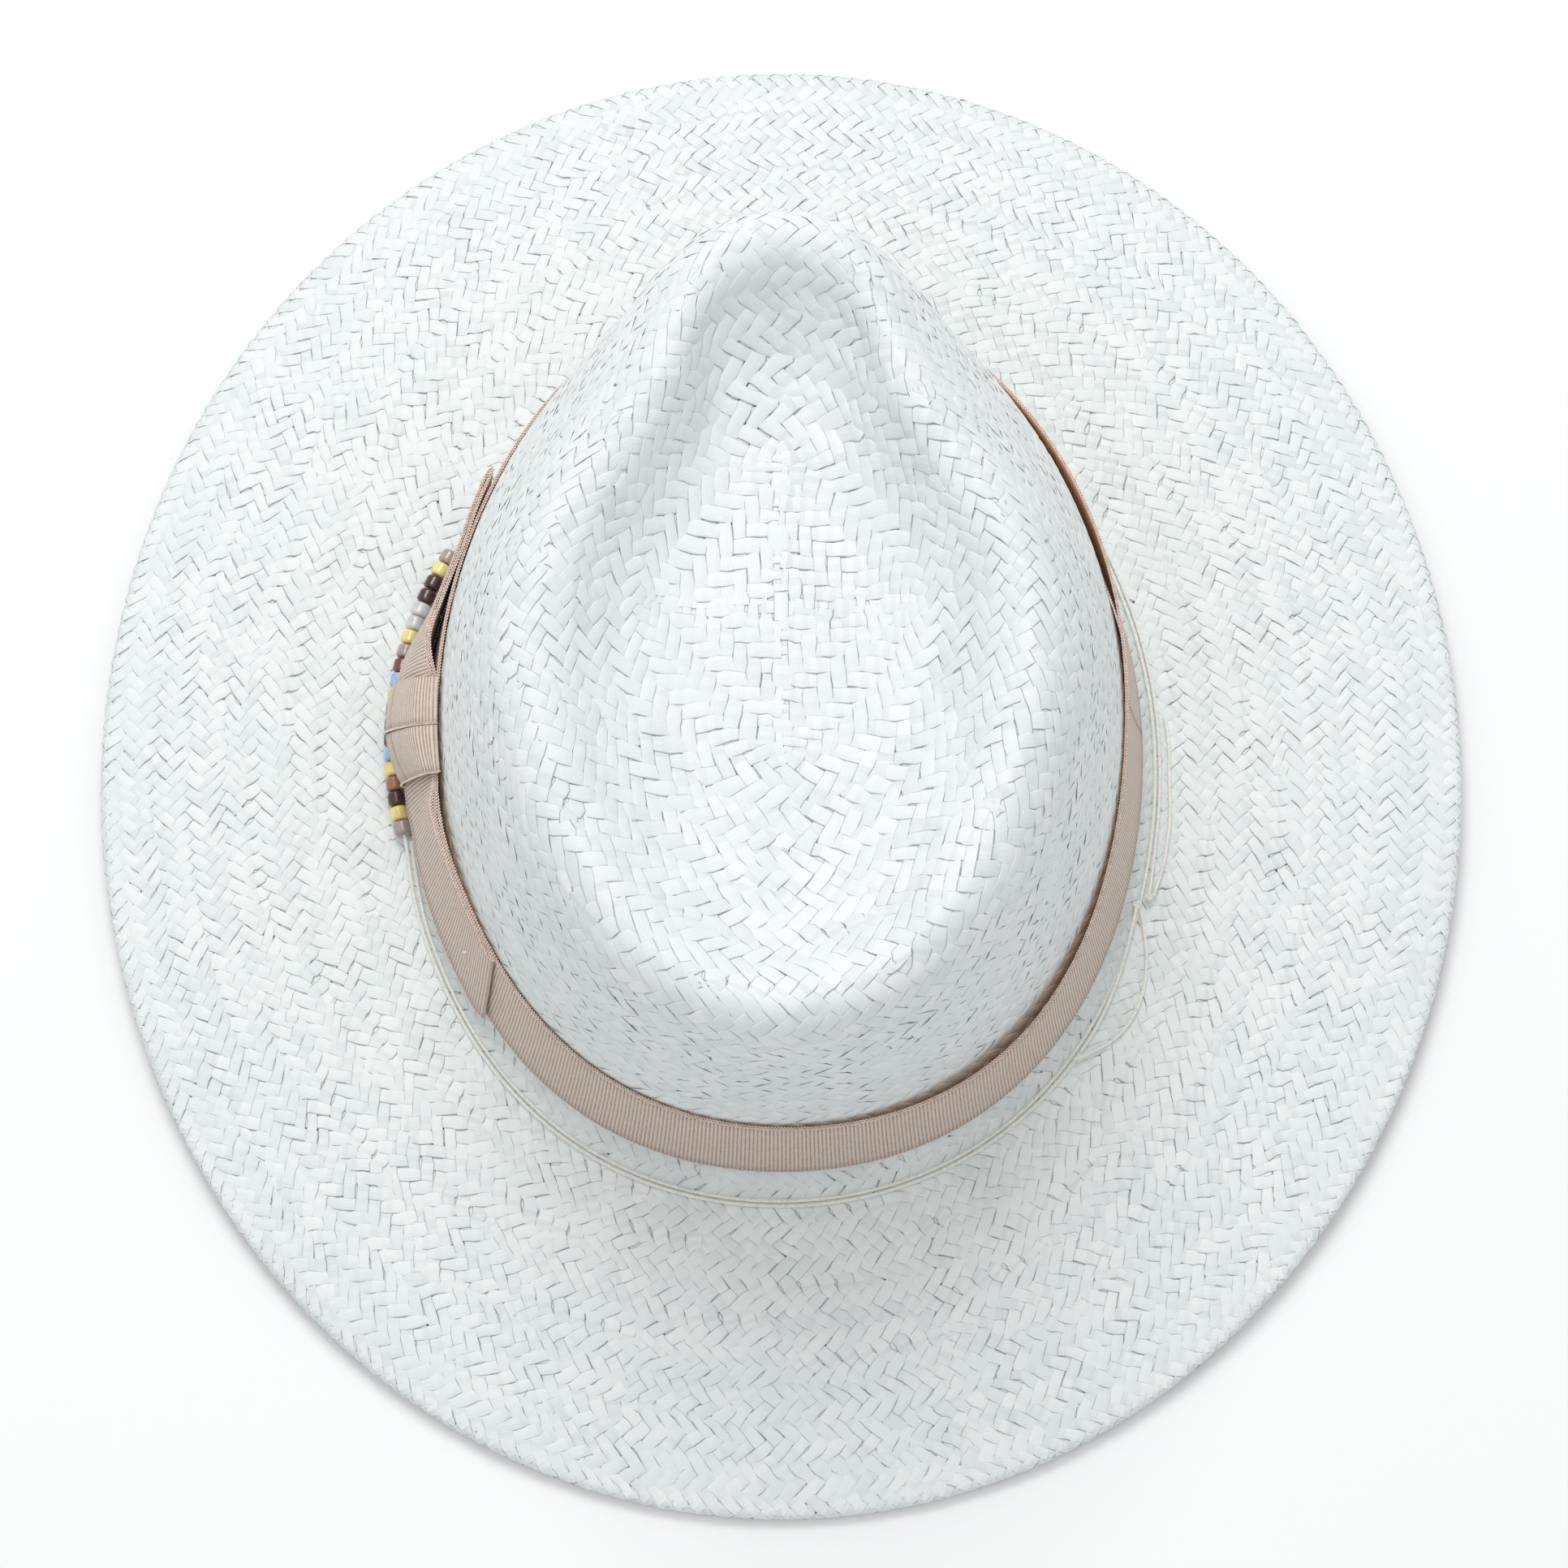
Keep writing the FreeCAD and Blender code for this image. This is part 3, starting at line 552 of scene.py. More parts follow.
def meridians():
    """Points from the crown's middle out to the brim's edge, around it and under the hem, at each angle."""
    angle = TURN * np.arange(THETAS) / THETAS
    crown = [section_points(row, angle) for row in SECTIONS[::-1]]
    middle = np.broadcast_to(crown[0].mean(axis=0), crown[0].shape)
    crown = smooth_rows([middle, *crown], 10)
    turns = np.radians(np.arange(20.0, 91.0, 10.0))
    root = [
        head_points(angle, ROOT_OUT - ROOT_RADIUS * math.cos(turn), ROOT_CENTRE_Z - ROOT_RADIUS * math.sin(turn))
        for turn in turns
    ]
    start = head_points(angle, ROOT_OUT, BRIM_TOP_Z)
    end = np.stack([BRIM_HALF_WIDTH * np.cos(angle), BRIM_HALF_LENGTH * np.sin(angle), np.zeros(THETAS)], axis=-1)
    flat = np.linalg.norm((end - start)[:, :2], axis=1)
    outward = (end - start)[:, :2] / flat[:, None]

    def on_brim(t, below=0.0):
        point = start + (end - start) * t[:, None]
        point[:, 2] = brim_z(angle, t) - below
        return point

    roll = 0.5 * HEM_DEPTH
    last = 1.0 - roll / flat
    brim = [on_brim(last * k / 36.0) for k in range(1, 37)]
    rim = []
    for turn in np.radians(np.arange(15.0, 180.0, 15.0)):
        point = brim[-1].copy()
        point[:, :2] += outward * (roll * math.sin(turn))
        point[:, 2] -= roll * (1.0 - math.cos(turn))
        rim.append(point)
    under = [on_brim(last - (HEM_WIDTH - roll) / flat * k / 4.0, HEM_DEPTH) for k in range(5)]
    return crown, np.array(root + brim), np.array(rim + under)


def resample(points, length, wanted):
    """Points at the wanted distances along each column of points."""
    out = np.empty((len(wanted), points.shape[1], 3))
    for j in range(points.shape[1]):
        for axis in range(3):
            out[:, j, axis] = np.interp(wanted[:, j], length[:, j], points[:, j, axis])
    return out


def weave_table():
    """The straw's outer face as a table over distance from the middle and fraction around, with its zones."""
    crown, brim, hem = meridians()
    points = np.concatenate([crown, brim, hem])
    length = reach_along(points)
    ends = [length[len(crown) - 1], length[len(crown) + len(brim) - 1], length[-1]]
    zones = [float(e.mean()) for e in ends]
    distance = np.arange(0.0, zones[2] + DISTANCE_STEP, DISTANCE_STEP)
    reaches = np.concatenate([np.zeros((1, THETAS)), ends])
    wanted = np.array([[np.interp(d, [0.0, *zones], reaches[:, j]) for j in range(THETAS)] for d in distance])
    rings = resample(points, length, wanted)
    table = np.empty((len(distance), FRACTIONS, 3))
    around = np.zeros(len(distance))
    quarter = THETAS // 4
    fractions = np.arange(FRACTIONS) / FRACTIONS
    for i, ring in enumerate(rings):
        ring = np.roll(ring, -quarter, axis=0)
        closed = np.concatenate([ring, ring[:1]])
        reach = reach_along(closed)
        around[i] = reach[-1]
        share = reach / reach[-1] if reach[-1] > 1e-6 else np.linspace(0.0, 1.0, len(reach))
        for axis in range(3):
            table[i, :, axis] = np.interp(fractions, share, closed[:, axis])
    down = np.gradient(table, axis=0)
    side = np.roll(table, -1, axis=1) - np.roll(table, 1, axis=1)
    normal = np.cross(down, side)
    normal[:2] = (0.0, 0.0, 1.0)
    return table, unit(normal), around, zones


table, table_normal, around, zones = weave_table()


def around_at(distance):
    """The length of the way round the hat at a distance from the middle."""
    return float(np.interp(distance, np.arange(len(around)) * DISTANCE_STEP, around))


def lookup(data, distance, fraction):
    """Values from the table at distances from the middle and fractions around, between its entries."""
    row = np.clip(distance / DISTANCE_STEP, 0.0, len(data) - 1.001)
    column = (fraction % 1.0) * FRACTIONS
    i, j = row.astype(int), column.astype(int) % FRACTIONS
    a, b = (row - i)[:, None], (column - column.astype(int))[:, None]
    j2 = (j + 1) % FRACTIONS
    return (
        data[i, j] * (1 - a) * (1 - b) + data[i + 1, j] * a * (1 - b)
        + data[i, j2] * (1 - a) * b + data[i + 1, j2] * a * b
    )


def surface(distance, fraction):
    """Points in the middle of the weave's thickness, and the outward normals there."""
    point = lookup(table, distance, fraction)
    normal = unit(lookup(table_normal, distance, fraction))
    return point - normal * MID_DEPTH, normal


GRID_RINGS = 12                    # rings of the square grid that the weave starts from
FREE_RINGS = 6                     # rings that keep the grid's square shape
ROUND_RING = 15                    # the first ring that follows the crown's own shape
ALIGNED_RINGS = 16                 # rings whose new strands all come in where a sector starts
SECTORS = 12                       # places around each ring where new strands come in
GROW_ROOM = 0.7                    # of a crossing more in each sector, before a ring grows
RING_STEP = PITCH / math.sqrt(2.0)
BRIM_STEP = BRIM_PITCH / math.sqrt(2.0)
GRID_SPREAD = 0.128                # how much wider the grid's strands are spaced than its rings' length says
WIDTH_SHARE = 0.55                 # half a strand's width as a share of the spacing
HEM_FLATTENED = 0.55               # how much of the weave's relief is pressed out of the hem
TONE_STEP = 31.7                   # moves the streaks from one strand to the next

Ring = namedtuple("Ring", "k distance sectors per_sector offset grows shift phase")
Crossings = namedtuple("Crossings", "index distance fraction point normal")


def ring_plan():
    """All rings of crossings, the number of the ring at the crown's foot and of the one at the brim's edge.

    A ring has its number, distance, sectors, crossings per sector and index offset, whether the next ring grows,
    where along each sector that growth comes, and the phase that keeps the crossings in line from ring to ring.
    """
    grid_step = PITCH * math.sqrt(2.0 / math.pi)
    grid_end = grid_step * GRID_RINGS
    foot, edge, end = zones
    crown_rings = round((foot - grid_end) / RING_STEP)
    brim_rings = round((edge - foot) / BRIM_STEP)
    hem_rings = int((end - edge) / BRIM_STEP)
    distances = [grid_step * k for k in range(1, GRID_RINGS + 1)]
    distances += [grid_end + (foot - grid_end) * k / crown_rings for k in range(1, crown_rings + 1)]
    distances += [foot + (edge - foot) * k / brim_rings for k in range(1, brim_rings + 1)]
    distances += [edge + BRIM_STEP * k for k in range(1, hem_rings + 1)]
    rings = []
    sectors, per_sector, offset, phase = 4, 1, 0.0, 0.0
    for k, (distance, ahead) in enumerate(zip(distances, [*distances[1:], distances[-1]]), 1):
        if k == GRID_RINGS:
            per_sector = per_sector * sectors // SECTORS
            sectors = SECTORS
        room = around_at(ahead) / (math.sqrt(2.0) * (PITCH if ahead < foot - 4.0 else BRIM_PITCH))
        grows = k < GRID_RINGS or room > sectors * (per_sector + GROW_ROOM)
        shift = int(rng.integers(0, per_sector)) if grows and k > ALIGNED_RINGS else 0
        rings.append(Ring(k, distance, sectors, per_sector, offset, grows, shift, phase))
        if grows:
            phase = phase * (per_sector + 1) / per_sector + shift / per_sector
            per_sector += 1
        else:
            offset = 0.5 - offset
    foot_ring = GRID_RINGS + crown_rings
    return rings, foot_ring, foot_ring + brim_rings


plan, foot_ring, edge_ring = ring_plan()


def ring_blend(k):
    """From 0 on the square rings in the middle to 1 on the rings that follow the crown."""
    t = min(1.0, max(0.0, (k - FREE_RINGS) / (ROUND_RING - FREE_RINGS)))
    return t * t * (3.0 - 2.0 * t)


def place_on_ring(ring, index):
    """Distance and fraction of crossings on a ring; the first rings are a square grid."""
    fraction = (index + ring.phase) / (ring.sectors * ring.per_sector)
    distance = np.full_like(fraction, ring.distance)
    if ring.k < ROUND_RING:
        quadrant = np.floor(fraction * 4.0)
        a = (fraction * 4.0 - quadrant) * ring.k
        x, y = (ring.k - a) * PITCH, a * PITCH
        square_fraction = (quadrant + np.arctan2(y, x) / (0.5 * math.pi)) / 4.0
        t = ring_blend(ring.k)
        distance = distance * t + np.hypot(x, y) * (1.0 - t)
        fraction = fraction * t + square_fraction * (1.0 - t)
    return distance, fraction


PROFILE = np.array([
    (-1.0, 0.0), (-0.80, 0.72), (0.0, 1.0), (0.80, 0.72), (1.0, 0.0), (0.6, -1.0), (-0.6, -1.0),
])


def strand_rows(centre, normal, tangent, half_width, height, twist):
    """The points of each strand's cross-section at each of its rows."""
    side = unit(np.cross(normal, tangent))
    across, up = PROFILE[:, 0], PROFILE[:, 1] * STRAND_HALF
    lift = height[:, None] + up[None, :] + across[None, :] * twist[:, None]
    return (
        centre[:, None, :] + side[:, None, :] * (across[None, :, None] * half_width[:, None, None])
        + normal[:, None, :] * lift[:, :, None]
    )


class StrandMesh:
    """Cross-sections of strands, and the quads that join them."""

    def __init__(self):
        self.count = 0
        self.points, self.along, self.tone, self.faces = [], [], [], []

    def add(self, rows, along, tone):
        """Adds a cross-section for each strand, and gives the number of each one's first point."""
        starts = self.count + np.arange(len(rows)) * len(PROFILE)
        self.count += len(rows) * len(PROFILE)
        self.points.append(rows.reshape(-1, 3))
        self.along.append(np.repeat(along, len(PROFILE)))
        self.tone.append(np.repeat(tone, len(PROFILE)))
        return starts

    def join(self, starts, ends):
        j = np.arange(len(PROFILE))
        corners = (starts, j), (starts, np.roll(j, -1)), (ends, np.roll(j, -1)), (ends, j)
        self.faces.append(np.stack([first[:, None] + at for first, at in corners], axis=-1).reshape(-1, 4))

    def piece(self, name):
        along, tone = np.concatenate(self.along), np.concatenate(self.tone)
        across = np.tile(PROFILE[:, 0], self.count // len(PROFILE))
        attributes = {"along": along, "across": across, "tone": tone}
        return mesh_piece(name, np.concatenate(self.points), np.concatenate(self.faces), attributes)


def over_height(k, left):
    """Two over, two under: how far one family's strands lie above the weave's middle on a ring."""
    over = (k % 4) in (0, 1)
    return LIFT if over != left else -LIFT


WAVES = rng.uniform(0.0, TURN, (3, 5)), rng.uniform(-1.0, 1.0, (3, 5, 2))
WAVE_SIZES = 0.30, 0.30, 0.16
WAVE_SHORTEST = 18.0               # mm, and how much longer the longest are
WAVE_SPAN = 22.0
SLIP_ALONG = 0.06                  # mm
SLIP_AROUND = 0.016                # of the way to the next crossing
HEIGHT_SPREAD = 0.025
TWIST_SPREAD = 0.045
WIDTH_SPREAD = 0.035


def wander(distance, fraction):
    """Slow uneven drift of hand weaving: along the straw, around it, and in and out, in mm."""
    angle = TURN * fraction
    flat = np.stack([distance * np.cos(angle), distance * np.sin(angle)], axis=-1)
    out = []
    for starts, ways, size in zip(*WAVES, WAVE_SIZES):
        total = np.zeros(len(flat))
        for start, way in zip(starts, ways):
            way = way / np.linalg.norm(way) * TURN / (WAVE_SHORTEST + WAVE_SPAN * abs(way[0]))
            total += np.sin(flat @ way + start)
        out.append(size * total / math.sqrt(2.5))
    return out


def hand_share(distance):
    """Where the straw may bulge in and out: over the crown's top and over the open brim."""
    wall = np.abs(distance - zones[0] + 12.0)
    return np.clip((wall - 30.0) / 15.0, 0.0, 1.0) * np.clip((zones[1] - 6.0 - distance) / 8.0, 0.0, 1.0)


def relief(k):
    """The share of the weave's relief that is left on a ring, less in the hem."""
    return 1.0 - HEM_FLATTENED * float(np.clip((k - (edge_ring - 4.5)) / 2.0, 0.0, 1.0))


def crossings_on(ring):
    """The places where strands cross on a ring, a little uneven."""
    n = ring.sectors * ring.per_sector
    index = np.arange(n) + ring.offset
    distance, fraction = place_on_ring(ring, index)
    slips = rng.normal(0.0, 1.0, (n, 3))
    drift = wander(distance, fraction)
    distance = distance + SLIP_ALONG * slips[:, 0] + drift[0]
    fraction = fraction + SLIP_AROUND * slips[:, 1] / n + drift[1] / around_at(ring.distance)
    point, normal = surface(distance, fraction)
    point = point + normal * (drift[2] * hand_share(distance))[:, None]
    return Crossings(index, distance, fraction, point, normal)


crossings = [crossings_on(ring) for ring in plan]


def arrivals(k, left):
    """For each crossing on ring k, which crossing on the next ring its strand comes to."""
    ring, after, index = plan[k - 1], plan[k], crossings[k - 1].index
    if ring.grows:
        target = index + np.floor((index - ring.shift) / ring.per_sector) + (1.0 if left else 0.0)
    else:
        target = index + (0.5 if left else -0.5)
    return np.round(target - after.offset).astype(int) % (after.sectors * after.per_sector)


def strand_ways(k, left, step):
    """The strands' directions on ring k: between the step that they arrive by and the step that they leave by."""
    came = step.copy()
    if k > 1:
        slots = arrivals(k - 1, left)
        came[slots] = crossings[k - 1].point[slots] - crossings[k - 2].point
    return unit(step + came)


def half_widths(k, way):
    """Half of each strand's width on ring k, narrower where the strands run closer to the ring's own way."""
    point = crossings[k - 1].point
    slant = np.linalg.norm(np.cross(way, unit(np.roll(point, -1, axis=0) - np.roll(point, 1, axis=0))), axis=1)
    spacing = around_at(plan[k - 1].distance) / len(point)
    spacing *= 1.0 + GRID_SPREAD * (1.0 - ring_blend(k))
    return WIDTH_SHARE * spacing * np.clip(slant, 0.45, 1.0)


def strand_tones(k, n, left, old):
    """Each strand's tone on ring k: new ones where the family dives under the other, carried over elsewhere."""
    if old is None or k % 4 == (0 if left else 2):
        return rng.uniform(0.0, 1.0, n)
    if len(old) != n:
        return np.interp(np.arange(n) / n, np.arange(len(old)) / len(old), old)
    return old


def halfway(k, slots):
    """Points and normals halfway from each crossing on ring k to the one that its strand comes to."""
    here, there = crossings[k - 1], crossings[k]
    distance = 0.5 * (here.distance + there.distance[slots])
    turn = there.fraction[slots] - here.fraction
    turn -= np.round(turn)
    fraction = here.fraction + 0.5 * turn
    point, normal = surface(distance, fraction)
    if k < 5:
        return 0.5 * (here.point + there.point[slots]), normal
    return point + normal * (wander(distance, fraction)[2] * hand_share(distance))[:, None], normal


def new_strands(mesh, k, left, slots, width, tone):
    """The strands that come in where ring k grows, each from the crossing beside it."""
    ring, here, there = plan[k - 1], crossings[k - 1], crossings[k]
    share = (here.index - ring.shift) % ring.per_sector
    origin = np.nonzero(share >= ring.per_sector - 1 if left else share < 1)[0]
    to = (slots[origin] + (1 if left else -1)) % len(there.index)
    start = np.full(len(origin), -1.3 * LIFT if left else over_height(k, True)) * relief(k)
    end = over_height(k + 1, left) * relief(k + 0.5)
    way = unit(there.point[to] - here.point[origin])
    between = 0.5 * (here.point[origin] + there.point[to])
    ends = []
    for centre, height, at in ((here.point[origin], start, k), (between, 0.5 * (start + end), k + 0.5)):
        rows = strand_rows(centre, here.normal[origin], way, 0.9 * width[origin], height, np.zeros(len(origin)))
        ends.append(mesh.add(rows, at * PITCH + TONE_STEP * here.index[origin], tone[origin]))
    mesh.join(*ends)
    return ends[1], to


def weave_zone(first, last, left, tone):
    """One family's strands from one ring to another, with their tones on the last ring."""
    mesh = StrandMesh()
    coming = None
    for k in range(first, last + 1):
        ring, here = plan[k - 1], crossings[k - 1]
        n = len(here.index)
        if k < len(plan):
            slots = arrivals(k, left)
            step = crossings[k].point[slots] - here.point
        elif len(step) != n:
            step = np.resize(step, (n, 3))
        way = strand_ways(k, left, step)
        height = over_height(k, left) * relief(k) + rng.normal(0.0, HEIGHT_SPREAD, n)
        twist = rng.normal(0.0, TWIST_SPREAD, n)
        tone = strand_tones(k, n, left, tone)
        width = half_widths(k, way) * (0.99 + rng.normal(0.0, WIDTH_SPREAD, n))
        rows = strand_rows(here.point, here.normal, way, width, height, twist)
        starts = mesh.add(rows, k * PITCH + TONE_STEP * here.index, tone)
        if coming is not None:
            mesh.join(coming[0], starts[coming[1]])
        if k == last:
            break
        point, normal = halfway(k, slots)
        levels = over_height(k, left), over_height(k + 1, left)
        middle_height = np.full(n, 0.5 * sum(levels)) * relief(k + 0.5)
        bulge = 1.05 if levels[0] == levels[1] else 0.97
        rows = strand_rows(point, normal, unit(step), width * bulge, middle_height, 0.5 * twist)
        middles = mesh.add(rows, (k + 0.5) * PITCH + TONE_STEP * here.index, tone)
        mesh.join(starts, middles)
        if ring.grows and (not left or k >= GRID_RINGS):
            added, to = new_strands(mesh, k, left, slots, width, tone)
            middles, slots = np.concatenate([middles, added]), np.concatenate([slots, to])
        coming = middles, slots
    return mesh, tone


def add_middle_strand(mesh, left):
    """One of the two strands that cross at the crown's middle; the left family's is the upper one."""
    reach = PITCH if left else -PITCH
    way = np.array((0.0, 1.0, 0.0) if left else (1.0, 0.0, 0.0))
    shares = np.linspace(-1.0, 1.0, 5)
    centre = surface(np.zeros(1), np.zeros(1))[0][0]
    centres = centre[None, :] + way[None, :] * (reach * shares)[:, None]
    over = LIFT if left else -LIFT
    heights = over + (over_height(1, False) - over) * np.abs(shares)
    up = np.tile((0.0, 0.0, 1.0), (5, 1))
    rows = strand_rows(centres, up, np.tile(way, (5, 1)), np.full(5, 0.5 * PITCH), heights, np.zeros(5))
    starts = mesh.add(rows, PITCH * shares, np.full(5, 0.6))
    mesh.join(starts[:-1], starts[1:])


straw_look = straw_material("paper_straw")
TOP_RING = foot_ring // 2 + 4
HALF_BRIM_RING = (foot_ring + edge_ring) // 2 + 3
WEAVE_ZONES = (
    ("crown_top", "crown", 1, TOP_RING), ("crown_wall", "crown", TOP_RING, foot_ring),
    ("brim_inner", "brim", foot_ring, HALF_BRIM_RING), ("brim_outer", "brim", HALF_BRIM_RING, edge_ring),
    ("hem_under", "brim_hem", edge_ring, len(plan)),
)
for left in (False, True):
    tone = None
    for name, node, first, last in WEAVE_ZONES:
        strands, tone = weave_zone(first, last, left, tone)
        if name == "crown_top":
            add_middle_strand(strands, left)
        piece = strands.piece(f"weave_{name}_{'left' if left else 'right'}")
        finish_piece(piece, straw_look, [node])


# ---------------------------------------------------------------- ribbon, bow, sweatband
ACROSS = [j / 6 for j in range(7)]    # the places of the points across a strip
RIBBON = 0.5                       # thickness of the ribbon, of the sweatband and of its lap
TAPE = 0.9
LAP_TAPE = 0.7
BAND_Z = 17.2, 41.8
BAND_GAPS = 0.7, 0.62              # between the straw and the band's middle, at its lower and upper edge
SWEAT_Z = 16.1, 43.9
SWEAT_GAPS = -2.75, -2.95
LAP_Z = 17.1, 42.9
LAP_HALF_WIDTH = 9.0
BACK_DEGREES = 270.0
STITCH_POINTS = 8                  # along each chain stitch
THREAD_POINTS = 5                  # around the stitching thread


def strip_piece(name, rows, thickness, material, nodes, closed=False, flip=False):
    """A thick strip of cloth. rows[i, j] are the middle points along its length (i) and across its width (j).

    The face towards the cross product of the two is its outside; flip makes it the inside.
    """
    rows = np.asarray(rows, float)
    count, width = rows.shape[:2]
    along_way = np.roll(rows, -1, axis=0) - np.roll(rows, 1, axis=0) if closed else np.gradient(rows, axis=0)
    reach = reach_along(rows[:, width // 2])
    across_way = np.gradient(rows, axis=1)
    normal = unit(np.cross(along_way, across_way))
    front = rows + normal * (0.5 * thickness)
    back = (rows - normal * (0.5 * thickness))[:, ::-1]
    loop = np.concatenate([front, back], axis=1)
    span = reach_along(rows[count // 2])
    across = np.tile(np.concatenate([span, span[::-1]]), count)
    # inside marks the inner face, which the ribbon materials paint with their painted shade and glow colour.
    inside = np.tile(np.concatenate([np.full(width, float(flip)), np.full(width, float(not flip))]), count)
    along = np.repeat(reach, 2 * width)
    faces = grid_faces(count, 2 * width, closed_rows=closed, closed_columns=True)
    if not closed:
        caps = []
        for base in (0, (count - 1) * 2 * width):
            for j in range(width - 1):
                caps.append((base + j, base + j + 1, base + 2 * width - 2 - j, base + 2 * width - 1 - j))
        faces = np.concatenate([faces, np.array(caps)])
    piece = mesh_piece(name, loop.reshape(-1, 3), faces, {"along": along, "across": across, "inside": inside})
    return finish_piece(piece, material, nodes)


def picot_piece(name, points, closed=False, radius=0.47, pitch=0.72):
    """The chain-stitched edge of the ribbon: two threads that swing from side to side and cross at each stitch."""
    points = np.asarray(points, float)
    if closed:
        points = np.concatenate([points, points[:1]])
    reach = reach_along(points)
    stitches = 2 * max(2, round(0.5 * reach[-1] / pitch))
    n = stitches * STITCH_POINTS + (0 if closed else 1)
    at = reach[-1] * np.arange(n) / (stitches * STITCH_POINTS)
    line = np.stack([np.interp(at, reach, points[:, axis]) for axis in range(3)], axis=-1)
    tangent = np.roll(line, -1, axis=0) - np.roll(line, 1, axis=0)
    if not closed:
        tangent[0], tangent[-1] = line[1] - line[0], line[-1] - line[-2]
    tangent = unit(tangent)
    side = unit(np.cross(tangent, (0.0, 0.0, 1.0)))
    up = np.cross(side, tangent)
    turns = TURN * np.arange(THREAD_POINTS) / THREAD_POINTS
    rings = []
    for start in (0.0, math.pi):
        phase = math.pi * at / (reach[-1] / stitches) + start
        middle = line + radius * (0.62 * np.sin(phase)[:, None] * side + 0.30 * np.cos(phase)[:, None] * up)
        size = 0.42 * radius
        rings.append(
            middle[:, None, :] + size * (
                np.cos(turns)[None, :, None] * side[:, None, :] + np.sin(turns)[None, :, None] * up[:, None, :]
            )
        )
    faces = grid_faces(n, THREAD_POINTS, closed_rows=closed, closed_columns=True)
    faces = np.concatenate([faces, faces + n * THREAD_POINTS])
    piece = mesh_piece(name, np.concatenate(rings).reshape(-1, 3), faces)
    return finish_piece(piece, picot_look)


ribbon_look = ribbon_material("grosgrain")
# The band's inner face is painted bright orange: a painted glow of light through the ribbon and bounced off the
# white crown.
band_look = ribbon_material("grosgrain_band", inside=(0.95, 0.50, 0.25))
picot_look = thread_material(
    "picot_edge", (0.66, 0.51, 0.44), (0.90, 0.76, 0.68), roughness=0.75, scale=1200.0, detail=2.0, relief=0.4
)
tape_look = tape_material("cotton_tape")
stitch_look = thread_material("sewing_thread", (0.70, 0.70, 0.64), (0.90, 0.90, 0.86))


def wall_grid(stations):
    """Rows of points from stations of (y_top, y_bottom, z_top, z_bottom, gap_top, gap_bottom, belly or nothing)."""
    rows = []
    for y_top, y_bottom, z_top, z_bottom, gap_top, gap_bottom, *rest in stations:
        belly = rest[0] if rest else 0.0
        row = []
        for t in ACROSS:
            gap = gap_bottom + (gap_top - gap_bottom) * t + belly * 4.0 * t * (1.0 - t)
            y = y_bottom + (y_top - y_bottom) * t
            row.append(wall_point(side_angle(y), z_bottom + (z_top - z_bottom) * t, gap))
        rows.append(row)
    return np.array(rows)


def band_gape(degrees):
    """How far the band's upper edge stands off the crown at the back right, the front right and behind the bow."""
    behind_bow = 1.3 * bump_at(degrees, 197.0, 10.0)
    return max(2.1 * bump_at(degrees, 310.0, 26.0), 1.5 * bump_at(degrees, 28.0, 22.0), behind_bow)


def ring_rows(steps, heights, gaps, extra=lambda degrees: 0.0):
    """Rows of points right round the crown wall; extra widens the gap at the upper edge."""
    z_low, z_high = heights
    gap_low, gap_high = gaps
    rows = []
    for i in range(steps):
        degrees = 360.0 * i / steps
        row = []
        for t in ACROSS:
            gap = gap_low + (gap_high + extra(degrees) - gap_low) * t
            row.append(wall_point(math.radians(degrees), z_low + (z_high - z_low) * t, gap))
        rows.append(row)
    return np.array(rows)


band_rows = ring_rows(360, BAND_Z, BAND_GAPS, band_gape)
band = strip_piece("band_ribbon", band_rows, RIBBON, band_look, ["ribbon_band"], closed=True)
band_edges = [
    picot_piece("band_edge_top", band_rows[:, -1] + (0, 0, 0.12), closed=True),
    picot_piece("band_edge_bottom", band_rows[:, 0] - (0, 0, 0.12), closed=True),
]

